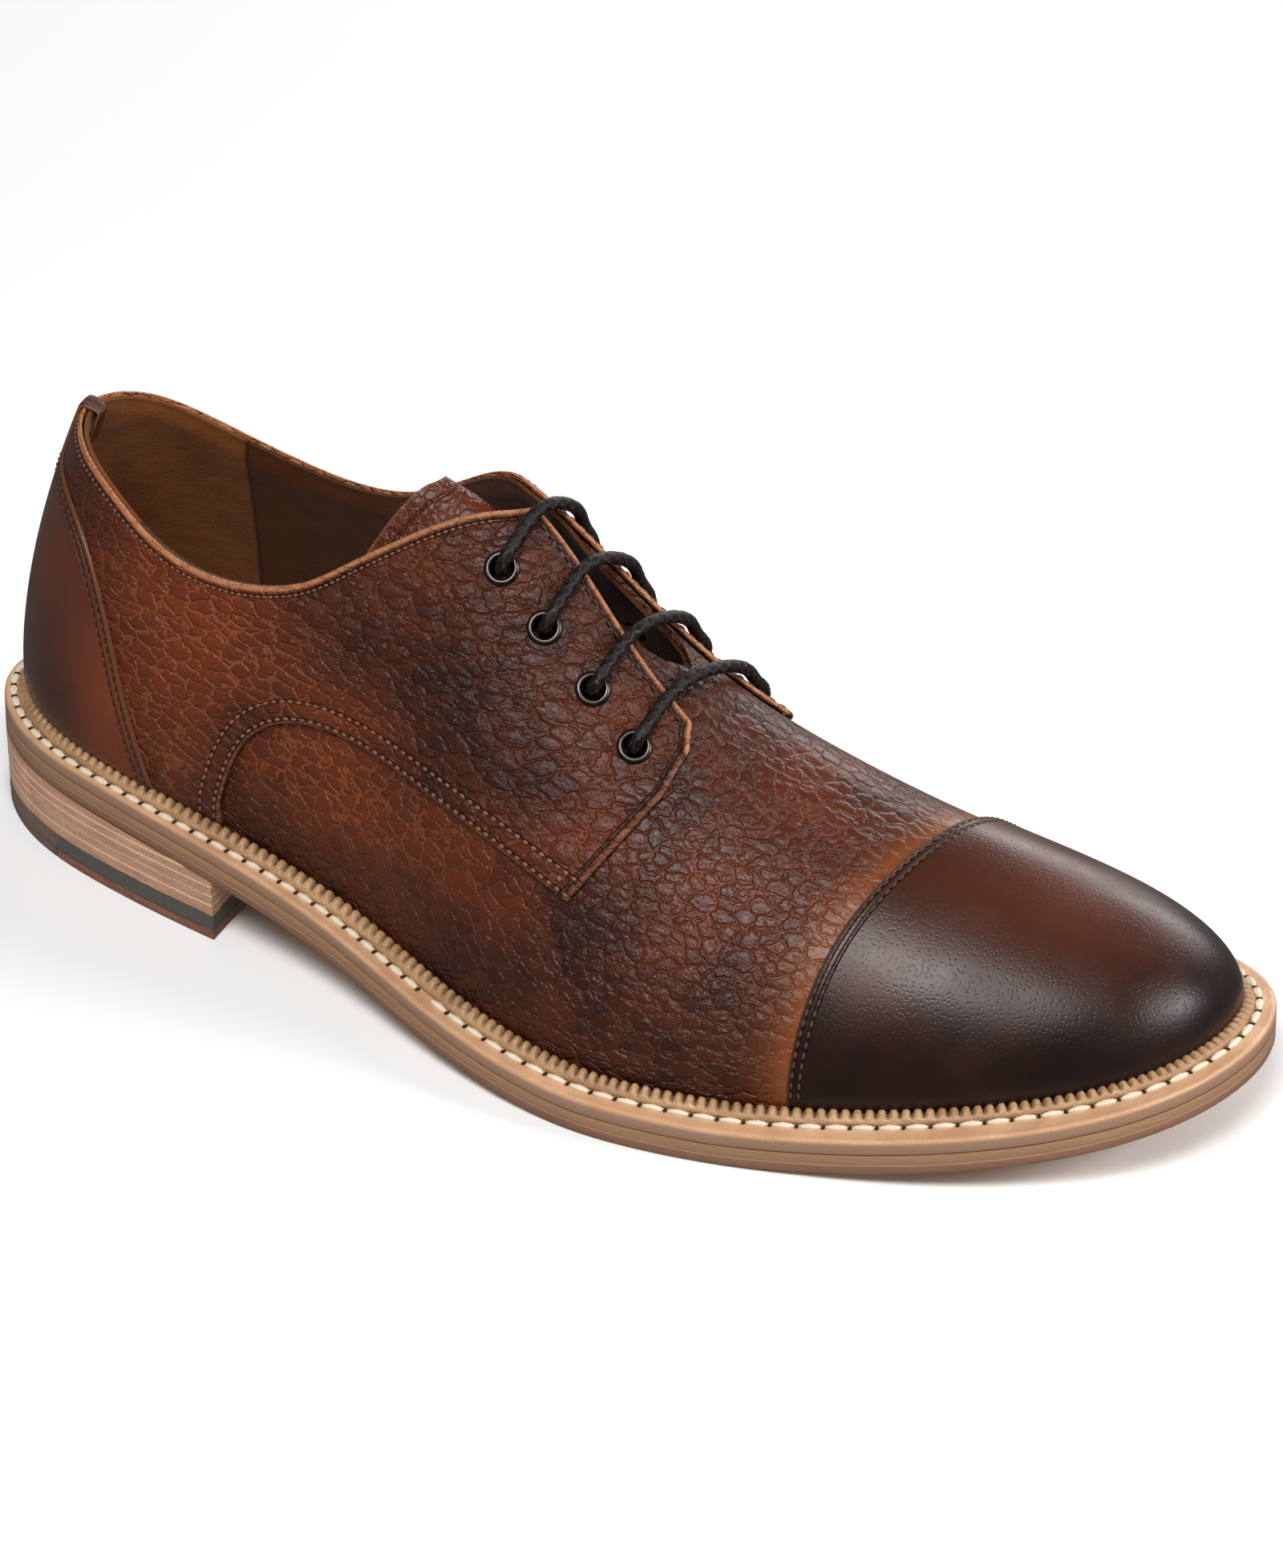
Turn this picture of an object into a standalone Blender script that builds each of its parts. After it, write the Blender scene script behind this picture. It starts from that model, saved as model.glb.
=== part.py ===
"""Cap toe derby shoe for the right foot: a hollow upper on a welted sole with a stacked heel.

Tables and sizes are in millimetres, in a drawing frame with x from the heel's back to the toe, y to the
medial (inner) side and z up from the floor.  Meshes are made in metres about the centre of the footprint.
"""

import bmesh
import bpy
import numpy as np
from mathutils import Matrix

MM = 0.001

# Driving dimensions
LENGTH = 302.5
BALL_WIDTH = 113.0
INSTEP_HEIGHT = 107.5
HEEL_HEIGHT = 17.5
TOE_SPRING = 13.5

# Sole stack
OUTSOLE_THICK = 4.9
WELT_THICK = 3.2
INSOLE_THICK = 3.0
INSOLE_CLEAR = 0.9
BEAD_WIDTH = 3.8
BEAD_HEIGHT = 2.4
SOLE_EDGE_ROUND = 0.7
SEAT_GAP = 0.3
WELT_TOP = OUTSOLE_THICK + SEAT_GAP + WELT_THICK
BEAD_CLEAR = BEAD_HEIGHT + 0.5

# Heel
BREAST_X = 77.0
BREAST_HOLLOW = 2.4
HEEL_TAPER = 0.5
TOP_LEATHER_THICK = 2.2
RUBBER_TOP = 6.0
LOWER_LIFT_TOP = 11.0
RUBBER_TIP_X = 29.0

# Upper and overlays
WALL = 2.0
OVERLAY_GAP = 0.35
QUARTER_THICK = 1.2
CAP_THICK = 1.1
COUNTER_THICK = 2.0
STRIP_THICK = 0.9
STRIP_HALF_WIDTH = 6.5
STRIP_LIFT = 0.8
QUARTER_TOP = OVERLAY_GAP + QUARTER_THICK
RIBS_PER_SIDE = 38
RIB_CROWDING = 0.25
ROWS = 8
FAN_X = 263.0

# Tongue, eyelets and lace
TONGUE_THICK = 2.2
LACE_CHANNEL = 4.0
TONGUE_TOP_X = 118.0
TONGUE_END_X = 200.0
TONGUE_HALF_WIDTH = 24.0
TONGUE_SLANT = 22.0
HOLE_RADIUS = 3.2
EYELET_BARREL = 2.9
EYELET_BORE = 2.3
EYELET_FLANGE = 3.8
EYELET_RISE = 0.9
LACE_RADIUS = 1.2
LACE_LIFT = 2.6
LACE_ASIDE = 0.045

# Edge of the sole, anticlockwise from the heel's back: place along the length, place across the ball
# width, welt showing outside the upper, ridge station of the rib, outward lean of the wall at the
# feather line in degrees, and how far the wall and the crown carry on before the rib turns.
SOLE_EDGE = [
    # along, across, margin, ridge, lean, wall, crown
    (0.000, 0.000, 7.0, 0.142, 4.5, 0.34, 0.30),
    (0.046, -0.186, 7.0, 0.155, 6.5, 0.34, 0.46),
    (0.136, -0.292, 6.5, 0.192, 9.0, 0.34, 0.62),
    (0.253, -0.354, 7.5, 0.271, 7.0, 0.32, 0.60),
    (0.360, -0.407, 8.5, 0.370, 4.0, 0.30, 0.50),
    (0.478, -0.509, 8.5, 0.489, 3.0, 0.32, 0.50),
    (0.610, -0.562, 9.0, 0.618, 7.0, 0.36, 0.55),
    (0.752, -0.487, 10.0, 0.744, 10.0, 0.42, 0.60),
    (0.884, -0.350, 11.0, 0.833, 12.0, 0.46, 0.62),
    (0.969, -0.168, 10.5, 0.873, 14.0, 0.50, 0.62),
    (1.000, 0.057, 9.5, 0.886, 14.0, 0.52, 0.62),
    (0.982, 0.257, 8.5, 0.879, 12.0, 0.48, 0.58),
    (0.912, 0.398, 8.5, 0.846, 10.0, 0.44, 0.55),
    (0.793, 0.438, 9.0, 0.777, 8.0, 0.40, 0.52),
    (0.661, 0.416, 9.0, 0.655, 5.0, 0.36, 0.50),
    (0.529, 0.336, 8.5, 0.522, 0.0, 0.32, 0.46),
    (0.397, 0.274, 8.0, 0.390, 0.0, 0.30, 0.46),
    (0.251, 0.265, 7.0, 0.271, 4.0, 0.32, 0.58),
    (0.112, 0.248, 6.5, 0.188, 8.0, 0.34, 0.62),
    (0.026, 0.150, 7.0, 0.155, 6.5, 0.34, 0.46),
]
TOE_ROW = 10

# Ridge of the upper over the instep, and above the collar the top of the cone that it is cut from
RIDGE = [
    # along, across, share of the instep height
    (0.099, -0.009, 1.160),
    (0.165, -0.018, 1.175),
    (0.264, -0.035, 1.155),
    (0.347, -0.044, 1.121),
    (0.397, -0.035, 1.074),
    (0.450, -0.027, 1.000),
    (0.506, -0.018, 0.874),
    (0.562, -0.009, 0.744),
    (0.618, 0.000, 0.647),
    (0.678, 0.009, 0.577),
    (0.744, 0.018, 0.521),
    (0.810, 0.035, 0.474),
    (0.866, 0.053, 0.428),
    (0.893, 0.058, 0.405),
]

# Underside of the sole
SOLE_PROFILE = [
    # along, share of the heel height, share of the toe spring
    (-0.020, 1.000, 0.000),
    (0.000, 1.000, 0.000),
    (0.132, 1.000, 0.000),
    (0.258, 0.823, 0.000),
    (0.413, 0.389, 0.000),
    (0.529, 0.109, 0.000),
    (0.612, -0.003, 0.000),
    (0.661, -0.009, 0.000),
    (0.701, 0.000, 0.000),
    (0.760, 0.000, 0.081),
    (0.876, 0.000, 0.430),
    (1.000, 0.000, 1.000),
    (1.025, 0.000, 1.126),
]

# Height of the collar's top line on each side
TOP_LINE = [
    # x, lateral z, medial z
    (8.0, 99.5, 99.5),
    (21.0, 98.0, 98.0),
    (31.0, 95.3, 95.3),
    (40.0, 92.5, 91.6),
    (53.0, 86.8, 87.6),
    (65.0, 83.2, 85.8),
    (77.0, 82.8, 85.6),
    (86.0, 84.3, 86.8),
    (95.5, 88.0, 89.8),
    (104.0, 94.3, 94.6),
    (113.0, 101.0, 100.6),
    (121.0, 106.3, 105.8),
    (131.0, 109.7, 109.4),
    (138.0, 108.0, 108.0),
    (144.0, 101.0, 101.0),
]

# Front edges of the two facings, measured out from the ridge, and where the vamp closes under them
FACING = [
    # x, lateral gap, medial gap
    (120.0, 3.0, 3.0),
    (138.0, 3.0, 4.0),
    (160.0, 9.4, 7.0),
    (182.0, 16.0, 11.0),
    (196.0, 20.5, 14.0),
]
VAMP_POINT_X = 172.0
VAMP_NOTCH = 14.0

# How far the tongue lies below the upper's wall at its middle and at its two edges
TONGUE_DEPTH = [
    # x, middle, edges
    (100.0, 7.2, 0.9),
    (120.0, 7.2, 1.5),
    (134.0, 6.8, 4.8),
    (165.0, 5.2, 5.0),
    (184.0, 5.0, 5.0),
    (200.0, 0.4, 0.4),
]

# Eyelets from the top down: place on each side and distance out from the ridge
EYELETS = [
    # lateral x, medial x, lateral reach, medial reach
    (137.0, 139.5, 14.0, 14.0),
    (148.5, 151.5, 17.0, 16.5),
    (161.0, 164.0, 19.3, 18.0),
    (172.5, 177.0, 22.3, 20.0),
]

# Lower seam of the quarters in side view, from the welt over the arch to the tip and up to the facing
QUARTER_SEAM = [
    # x, z, forward shift of the medial quarter
    (74.5, 0.0, 0.0),
    (75.5, 30.0, 0.0),
    (79.0, 41.0, 0.0),
    (83.5, 49.5, 0.0),
    (91.0, 55.4, 1.0),
    (102.0, 57.7, 2.0),
    (124.0, 55.4, 3.0),
    (152.0, 49.3, 4.0),
    (170.0, 43.4, 5.0),
    (176.0, 56.5, 6.0),
    (180.5, 67.0, 7.0),
    (182.5, 72.0, 7.0),
    (182.0, 77.0, 7.0),
    (178.0, 84.0, 6.0),
]

# Front edge of the counter in side view, from the welt up and round to the back
COUNTER_EDGE = [
    # x, z
    (59.0, 22.0),
    (57.0, 28.0),
    (50.0, 48.0),
    (46.0, 60.0),
    (41.0, 71.0),
    (34.0, 80.5),
    (26.0, 85.5),
    (8.0, 86.5),
]

# Seam of the toe cap seen from above
CAP_SEAM = [
    # y, x
    (-70.0, 223.0),
    (-48.0, 223.0),
    (-33.0, 224.6),
    (-14.0, 229.0),
    (3.0, 232.4),
    (20.0, 234.5),
    (60.0, 234.5),
]

COLOURS = {
    # base colour, roughness, metallic
    "grain_leather": ((0.14, 0.040, 0.016), 0.50, 0.0),
    "cap_leather": ((0.075, 0.020, 0.010), 0.36, 0.0),
    "tongue_leather": ((0.12, 0.034, 0.015), 0.50, 0.0),
    "insole_leather": ((0.20, 0.10, 0.045), 0.70, 0.0),
    "welt_leather": ((0.46, 0.28, 0.13), 0.60, 0.0),
    "outsole_leather": ((0.20, 0.10, 0.055), 0.50, 0.0),
    "heel_leather": ((0.30, 0.17, 0.095), 0.50, 0.0),
    "heel_rubber": ((0.075, 0.065, 0.058), 0.60, 0.0),
    "eyelet_metal": ((0.045, 0.040, 0.036), 0.35, 1.0),
    "lace_cord": ((0.022, 0.017, 0.014), 0.55, 0.0),
}


def spline(knots, rows, closed=False):
    """Cubic curve through rows of values at rising knots, natural at its ends or closed on itself."""
    knots = np.asarray(knots, float)
    rows = np.asarray(rows, float)
    count = len(knots)
    step = np.diff(knots)
    rise = np.diff(rows, axis=0) / step[:, None]
    matrix = np.eye(count)
    right = np.zeros_like(rows)
    for i in range(1, count - 1):
        matrix[i, i - 1:i + 2] = step[i - 1], 2 * (step[i - 1] + step[i]), step[i]
        right[i] = 6 * (rise[i] - rise[i - 1])
    if closed:
        matrix[0, [0, 1, count - 2]] = 2 * (step[0] + step[-1]), step[0], step[-1]
        right[0] = 6 * (rise[0] - rise[-1])
        matrix[-1, 0] = -1
    bend = np.linalg.solve(matrix, right)

    def at(place):
        place = np.asarray(place, float)
        if closed:
            place = knots[0] + np.mod(place - knots[0], knots[-1] - knots[0])
        i = np.clip(np.searchsorted(knots, place, side="right") - 1, 0, count - 2)
        span = step[i][..., None]
        a = (knots[i + 1] - place)[..., None] / span
        b = 1 - a
        curve = (a ** 3 - a) * bend[i] + (b ** 3 - b) * bend[i + 1]
        return a * rows[i] + b * rows[i + 1] + curve * span ** 2 / 6

    return at


def column_spline(table):
    """Spline over a table whose first column is the place."""
    table = np.array(table, float)
    return spline(table[:, 0], table[:, 1:])


# The sole's edge as a closed curve, with the rib values carried along it
edge_table = np.array(SOLE_EDGE + SOLE_EDGE[:1], float)
edge_table[:, [0, 3]] *= LENGTH
edge_table[:, 1] *= BALL_WIDTH
edge_chord = np.hypot(np.diff(edge_table[:, 0]), np.diff(edge_table[:, 1])) ** 0.75
edge_knots = np.r_[0, np.cumsum(edge_chord)] / edge_chord.sum()
edge = spline(edge_knots, edge_table, closed=True)
TOE = edge_knots[TOE_ROW]

ridge_table = np.array(RIDGE, float) * (LENGTH, BALL_WIDTH, INSTEP_HEIGHT)
ridge = column_spline(ridge_table)
profile_table = np.array(SOLE_PROFILE, float) * (LENGTH, HEEL_HEIGHT, TOE_SPRING)
profile = column_spline(np.c_[profile_table[:, 0], profile_table[:, 1] + profile_table[:, 2]])
top_line = column_spline(TOP_LINE)
facing = column_spline(FACING)

around = edge(np.linspace(0, 1, 2000))
CENTRE = np.array([
    (around[:, 0].min() + around[:, 0].max()) / 2,
    (around[:, 1].min() + around[:, 1].max()) / 2,
    0.0,
])


def sole_z(x):
    """Height of the sole's underside, with the forefoot's flat tread at the floor."""
    return np.maximum(profile(x)[..., 0], 0.0)


def inward(s):
    """Unit direction from the sole's edge into the shoe, seen from above."""
    along = (edge(s + 1e-4) - edge(s - 1e-4))[..., :2]
    turned = np.stack([-along[..., 1], along[..., 0]], -1)
    return turned / np.linalg.norm(turned, axis=-1, keepdims=True)


def edge_ring(s, inset, height, on_feather=False):
    """Points round the sole at an inset from its edge and a height above its underside."""
    row = edge(s)
    above = height - WELT_TOP
    reach = inset + (row[:, 2] - above * np.tan(np.radians(row[:, 4])) if on_feather else 0.0)
    plan = row[:, :2] + inward(s) * np.reshape(reach, (-1, 1))
    return np.c_[plan, sole_z(plan[:, 0]) + height]


def rib(s, t):
    """Point on the upper's outer face: s runs round the feather line, t from there up to the ridge."""
    s, t = np.broadcast_arrays(np.asarray(s, float), np.asarray(t, float))
    row = edge(s)
    into = inward(s)
    foot_plan = row[..., :2] + into * row[..., 2:3]
    foot = np.concatenate([foot_plan, (sole_z(foot_plan[..., 0]) + WELT_TOP)[..., None]], -1)
    station = np.minimum(row[..., 3], FAN_X)
    crest = np.concatenate([station[..., None], ridge(station)], -1)
    slope = ridge_slope(station)
    lean = np.radians(row[..., 4:5])
    up = np.concatenate([-into * np.sin(lean), np.cos(lean)], -1)
    out = (foot - crest)[..., :2]
    level = np.concatenate([out, out[..., :1] * slope[..., None]], -1)
    wall_turn = foot + up * row[..., 5:6] * (crest - foot)[..., 2:3]
    crown_turn = crest + level * row[..., 6:7]
    t = t[..., None]
    u = 1 - t
    return u ** 3 * foot + 3 * u * u * t * wall_turn + 3 * u * t * t * crown_turn + t ** 3 * crest


def ridge_slope(x):
    return (ridge(x + 1.0) - ridge(x - 1.0))[..., 1] / 2.0


def skin(s, t, offset):
    """Point at an offset from the upper's outer face, outward where the offset is positive."""
    s, t = np.broadcast_arrays(np.asarray(s, float), np.asarray(t, float))
    near = np.clip(t, 0.002, 0.98)
    across = rib(s + 1e-4, near) - rib(s - 1e-4, near)
    upward = rib(s, near + 1e-3) - rib(s, near - 1e-3)
    out = np.cross(across, upward)
    out /= np.linalg.norm(out, axis=-1, keepdims=True)
    slope = ridge_slope(np.minimum(edge(s)[..., 3], FAN_X))
    top = np.stack([-slope, np.zeros_like(slope), np.ones_like(slope)], -1)
    top /= np.linalg.norm(top, axis=-1, keepdims=True)
    blend = np.clip((t - 0.9) / 0.1, 0, 1)[..., None]
    out = out * (1 - blend) + top * blend
    out /= np.linalg.norm(out, axis=-1, keepdims=True)
    return rib(s, t) + out * offset


# Rib stations: crowded at heel and toe, and the same ridge stations on both sides
walk = np.linspace(0, 1, RIBS_PER_SIDE + 1)
lateral_s = TOE * (walk - RIB_CROWDING * np.sin(2 * np.pi * walk) / (2 * np.pi))
medial_scan = np.linspace(1, TOE, 1500)
medial_s = np.interp(edge(lateral_s)[:, 3], edge(medial_scan)[:, 3], medial_scan)
medial_s[-1] = TOE
fan = edge(lateral_s)[:, 3] >= FAN_X
fan_start = int(np.argmax(fan))
fan_share = np.linspace(0, 1, RIBS_PER_SIDE + 1 - fan_start)
medial_s[fan_start:] = medial_s[fan_start] + (TOE - medial_s[fan_start]) * fan_share
RING = np.r_[lateral_s, medial_s[-2:0:-1]]


def rib_at(side, x):
    """Loop place of the rib whose ridge station is x, on the lateral or the medial side."""
    scan = np.linspace(0, TOE, 1500) if side == "lateral" else medial_scan
    return np.interp(x, edge(scan)[:, 3], scan)


def side_column(side):
    return 0 if side == "lateral" else 1


def rib_end(s, closed_vamp):
    """Share of the rib that is left below the collar, and below the facing's edge at the throat."""
    side = side_column("lateral" if s <= TOE else "medial")
    steps = np.linspace(0.2, 1, 1601)
    line = rib(np.full_like(steps, s), steps)
    x, y, z = line.T
    over = (x < TOP_LINE[-1][0]) & (z > top_line(x)[:, side])
    gap = facing(np.clip(x, FACING[0][0], FACING[-1][0]))[:, side]
    if closed_vamp:
        gap = gap * np.sqrt(np.clip((VAMP_POINT_X - x) / VAMP_NOTCH, 0, 1))
    station = min(float(edge(s)[3]), FAN_X)
    in_throat = FACING[0][0] - 20 < station < FACING[-1][0]
    over |= in_throat & (np.abs(y - ridge(x)[:, 0]) < gap)
    return steps[np.argmax(over)] if over.any() else 1.0


def locate(side, x, reach):
    """Loop place and rib share of the point at x and at a distance out from the ridge."""
    sign = -1 if side == "lateral" else 1
    s = float(rib_at(side, x))
    t = 0.75
    step = 1e-4
    for _ in range(12):
        here = rib(s, t)
        miss = np.array([x - here[0], ridge(x)[0] + sign * reach - here[1]])
        slope = np.c_[(rib(s + step, t) - here)[:2], (rib(s, t + step) - here)[:2]] / step
        ds, dt = np.linalg.solve(slope, miss)
        s += np.clip(ds, -0.02, 0.02)
        t = np.clip(t + np.clip(dt, -0.1, 0.1), 0.05, 0.999)
    return s, float(t)


# Scene, collections and materials
for old in list(bpy.data.objects):
    bpy.data.objects.remove(old)
shoe = bpy.data.collections.new("cap_toe_derby_shoe")
cutters = bpy.data.collections.new("cutters")
bpy.context.scene.collection.children.link(shoe)
bpy.context.scene.collection.children.link(cutters)


def material(name):
    colour, roughness, metallic = COLOURS[name]
    made = bpy.data.materials.get(name) or bpy.data.materials.new(name)
    made.use_nodes = True
    shader = made.node_tree.nodes["Principled BSDF"]
    shader.inputs["Base Color"].default_value = (*colour, 1.0)
    shader.inputs["Roughness"].default_value = roughness
    shader.inputs["Metallic"].default_value = metallic
    made.diffuse_color = (*colour, 1.0)
    return made


def to_shoe(points):
    """Drawing millimetres to metres about the centre of the footprint."""
    return (np.asarray(points, float) - CENTRE) * MM


def add_object(name, mesh, colour=None):
    made = bpy.data.objects.new(name, mesh)
    if colour:
        shoe.objects.link(made)
        mesh.materials.clear()
        mesh.materials.append(material(colour))
        mesh.shade_smooth()
        mesh.set_sharp_from_angle(angle=np.radians(35))
    else:
        cutters.objects.link(made)
        made.hide_render = True
        made.display_type = "WIRE"
    return made


def finish(bm, name):
    bmesh.ops.recalc_face_normals(bm, faces=bm.faces)
    mesh = bpy.data.meshes.new(name)
    bm.to_mesh(mesh)
    bm.free()
    return mesh


def sheet(name, points):
    """Open surface on a grid, with points[i][j] for column i and row j."""
    columns, rows = points.shape[:2]
    bm = bmesh.new()
    bmesh.ops.create_grid(bm, x_segments=columns - 1, y_segments=rows - 1, size=1)
    places = to_shoe(points)
    for vert in bm.verts:
        i = round((vert.co.x + 1) / 2 * (columns - 1))
        j = round((vert.co.y + 1) / 2 * (rows - 1))
        vert.co = places[i, j]
    bmesh.ops.remove_doubles(bm, verts=bm.verts, dist=0.02 * MM)
    mesh = bpy.data.meshes.new(name)
    bm.to_mesh(mesh)
    bm.free()
    return mesh


def thicken(made, thickness, outward):
    """Give an open surface its leather thickness."""
    solid = made.modifiers.new("thickness", "SOLIDIFY")
    solid.thickness = thickness * MM
    solid.offset = 1.0 if outward else -1.0
    solid.use_even_offset = True
    return solid


def cut(made, cutter, operation):
    step = made.modifiers.new(cutter.name, "BOOLEAN")
    step.operation = operation
    step.solver = "EXACT"
    step.object = cutter


def rib_grid(stations, tops, offset, rise=0.0):
    """Grid of skin points: a column for each rib from a rise above the welt to a share of its length."""
    share = np.linspace(0, 1, ROWS + 1)
    scan = np.linspace(0, 0.4, 401)
    grid = []
    for s, top in zip(stations, tops):
        height = rib(np.full_like(scan, s), scan)[:, 2]
        start = np.interp(height[0] + rise, height, scan)
        grid.append(skin(np.full_like(share, s), start + (top - start) * share, offset))
    return np.array(grid)


def cap_ring(bm, ring, per_side, blunt):
    """Close a ring with strips between the points that face each other across the shoe.

    A blunt ring starts with a straight edge, any other with a single point at the back.
    """
    last = len(ring) - 1 if blunt else len(ring)
    if not blunt:
        bm.faces.new((ring[0], ring[1], ring[-1]))
    for i in range(0 if blunt else 1, per_side):
        bm.faces.new((ring[i], ring[i + 1], ring[last - i - 1], ring[last - i]))
    bm.faces.new(ring[per_side:last - per_side + 1])


def stack(name, rings, per_side, colour, blunt=False):
    """Closed solid lofted through rings of points, from the lower ring to the upper."""
    bm = bmesh.new()
    made = [[bm.verts.new(p) for p in to_shoe(ring)] for ring in rings]
    count = len(made[0])
    for low, high in zip(made, made[1:]):
        for i in range(count):
            k = (i + 1) % count
            bm.faces.new((low[i], low[k], high[k], high[i]))
    cap_ring(bm, made[0], per_side, blunt)
    cap_ring(bm, made[-1], per_side, blunt)
    bmesh.ops.remove_doubles(bm, verts=bm.verts, dist=0.01 * MM)
    bmesh.ops.dissolve_degenerate(bm, edges=bm.edges, dist=0.01 * MM)
    return add_object(name, finish(bm, name), colour)


def prism(name, outline, axis, low, high):
    """Cutter with an outline in the plane across an axis, drawn out between two places on it."""
    bm = bmesh.new()
    ends = []
    for place in (low, high):
        points = np.insert(np.asarray(outline, float), axis, place, axis=1)
        ends.append([bm.verts.new(p) for p in to_shoe(points)])
    for i in range(len(outline)):
        k = (i + 1) % len(outline)
        bm.faces.new((ends[0][i], ends[0][k], ends[1][k], ends[1][i]))
    bm.faces.new(ends[0])
    bm.faces.new(ends[1])
    return add_object(name, finish(bm, name))


def smooth_line(points, count):
    """Even run of points along a curve through a few."""
    points = np.asarray(points, float)
    chord = np.r_[0, np.cumsum(np.linalg.norm(np.diff(points, axis=0), axis=1))]
    return spline(chord, points)(np.linspace(0, chord[-1], count))


# Upper: one hollow wall, open at the collar, the throat and underneath
ends = np.array([rib_end(s, True) for s in RING])
wall_points = rib_grid(np.r_[RING, RING[0]], np.r_[ends, ends[0]], 0.0, SEAT_GAP)
upper = add_object("upper", sheet("upper", wall_points), "grain_leather")
thicken(upper, WALL, outward=False)

# Eyelet places, and one cutter for the holes of each side
eyelets = {"lateral": [], "medial": []}
for row in EYELETS:
    for side in eyelets:
        column = side_column(side)
        s, t = locate(side, row[column], row[2 + column])
        seat = skin(s, t, QUARTER_TOP)
        out = skin(s, t, QUARTER_TOP + 1.0) - seat
        eyelets[side].append((s, t, seat, out))


def facing_frame(seat, out):
    """Matrix that stands an upright piece on the facing."""
    turn = np.eye(4)
    toe_ward = np.cross([0.0, 1.0, 0.0], out)
    toe_ward /= np.linalg.norm(toe_ward)
    turn[:3, 0] = toe_ward
    turn[:3, 1] = np.cross(out, toe_ward)
    turn[:3, 2] = out
    turn[:3, 3] = to_shoe(seat)
    return Matrix(turn.tolist())


hole_cutters = {}
for side, places in eyelets.items():
    bm = bmesh.new()
    for s, t, seat, out in places:
        bmesh.ops.create_cone(bm, cap_ends=True, segments=10, radius1=HOLE_RADIUS * MM,
                              radius2=HOLE_RADIUS * MM, depth=9 * MM,
                              matrix=facing_frame(seat - 1.5 * out, out))
    hole_cutters[side] = add_object("eyelet_holes_" + side, finish(bm, "eyelet_holes_" + side))
    cut(upper, hole_cutters[side], "DIFFERENCE")

# Quarters: leather from the counter to the facings over the vamp, cut by the lower seam in side view
counter_line = smooth_line(COUNTER_EDGE, 18)
seam_table = np.array(QUARTER_SEAM, float)
for side, sign in (("lateral", 0.0), ("medial", 1.0)):
    stations = (lateral_s if side == "lateral" else medial_s).copy()
    stations = stations[edge(stations)[:, 3] < FACING[-1][0] + 12]
    stations[0] += 0.0003 if side == "lateral" else -0.0003
    quarter_ends = [rib_end(s, False) for s in stations]
    if side == "medial":
        stations = stations[::-1]
        quarter_ends = quarter_ends[::-1]
    name = "quarter_" + side
    quarter_grid = rib_grid(stations, quarter_ends, OVERLAY_GAP, BEAD_CLEAR)
    quarter = add_object(name, sheet(name, quarter_grid), "grain_leather")
    thicken(quarter, QUARTER_THICK, outward=True)
    seam = seam_table[:, :2] + np.c_[seam_table[:, 2] * sign, np.zeros(len(seam_table))]
    arch = smooth_line(seam[1:9], 24)
    front = smooth_line(seam[8:], 10)
    rear = counter_line[::-1] + (SEAT_GAP, SEAT_GAP)
    outline = np.r_[seam[:1], arch, front[1:], [(184.0, 140.0), (8.0, 140.0)], rear, [(60.0, 0.0)]]
    cut(quarter, prism(name + "_outline", outline, 1, -90.0, 90.0), "INTERSECT")
    cut(quarter, hole_cutters[side], "DIFFERENCE")

# Counter: smooth leather round the back of the heel
counter_s = np.r_[medial_s[1:14][::-1] - 1, lateral_s[:14]]
counter_s = counter_s[rib(counter_s, 0.0)[:, 0] < COUNTER_EDGE[0][0] + 12]
counter_ends = [rib_end(s % 1.0, False) for s in counter_s]
counter_grid = rib_grid(counter_s, counter_ends, OVERLAY_GAP, BEAD_CLEAR)
counter = add_object("heel_counter", sheet("heel_counter", counter_grid), "cap_leather")
thicken(counter, COUNTER_THICK, outward=True)
counter_outline = np.r_[[(-20.0, 0.0), (59.0, 0.0)], counter_line, [(-20.0, COUNTER_EDGE[-1][1])]]
cut(counter, prism("counter_outline", counter_outline, 1, -90.0, 90.0), "INTERSECT")

# Toe cap: smooth leather from the seam forward
cap_from = int(np.argmax(edge(lateral_s)[:, 3] > CAP_SEAM[0][1] - 18))
cap_s = np.r_[lateral_s[cap_from:], medial_s[cap_from:-1][::-1]]
cap_grid = rib_grid(cap_s, np.ones(len(cap_s)), OVERLAY_GAP, BEAD_CLEAR)
cap = add_object("toe_cap", sheet("toe_cap", cap_grid), "cap_leather")
thicken(cap, CAP_THICK, outward=True)
cap_line = smooth_line([(x, y) for y, x in CAP_SEAM], 16)
cap_outline = np.r_[cap_line, [(330.0, 60.0), (330.0, -70.0)]]
cut(cap, prism("toe_cap_outline", cap_outline, 2, -10.0, 150.0), "INTERSECT")

# Back strip: narrow leather over the joint of the quarters, from the counter to just over the collar
strip_s = np.linspace(-1, 1, 5) * STRIP_HALF_WIDTH / 650.0
strip_grid = []
for s in strip_s:
    scan = np.linspace(0.3, 1, 700)
    height = rib(np.full_like(scan, s), scan)[:, 2]
    low = np.interp(COUNTER_EDGE[-1][1] + 0.6, height, scan)
    top = rib_end(s % 1.0, False)
    high = np.interp(np.interp(top, scan, height) + STRIP_LIFT, height, scan)
    strip_grid.append(skin(np.full(4, s), np.linspace(low, high, 4), QUARTER_TOP + SEAT_GAP))
strip = add_object("back_strip", sheet("back_strip", np.array(strip_grid)), "cap_leather")
thicken(strip, STRIP_THICK, outward=True)

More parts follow.
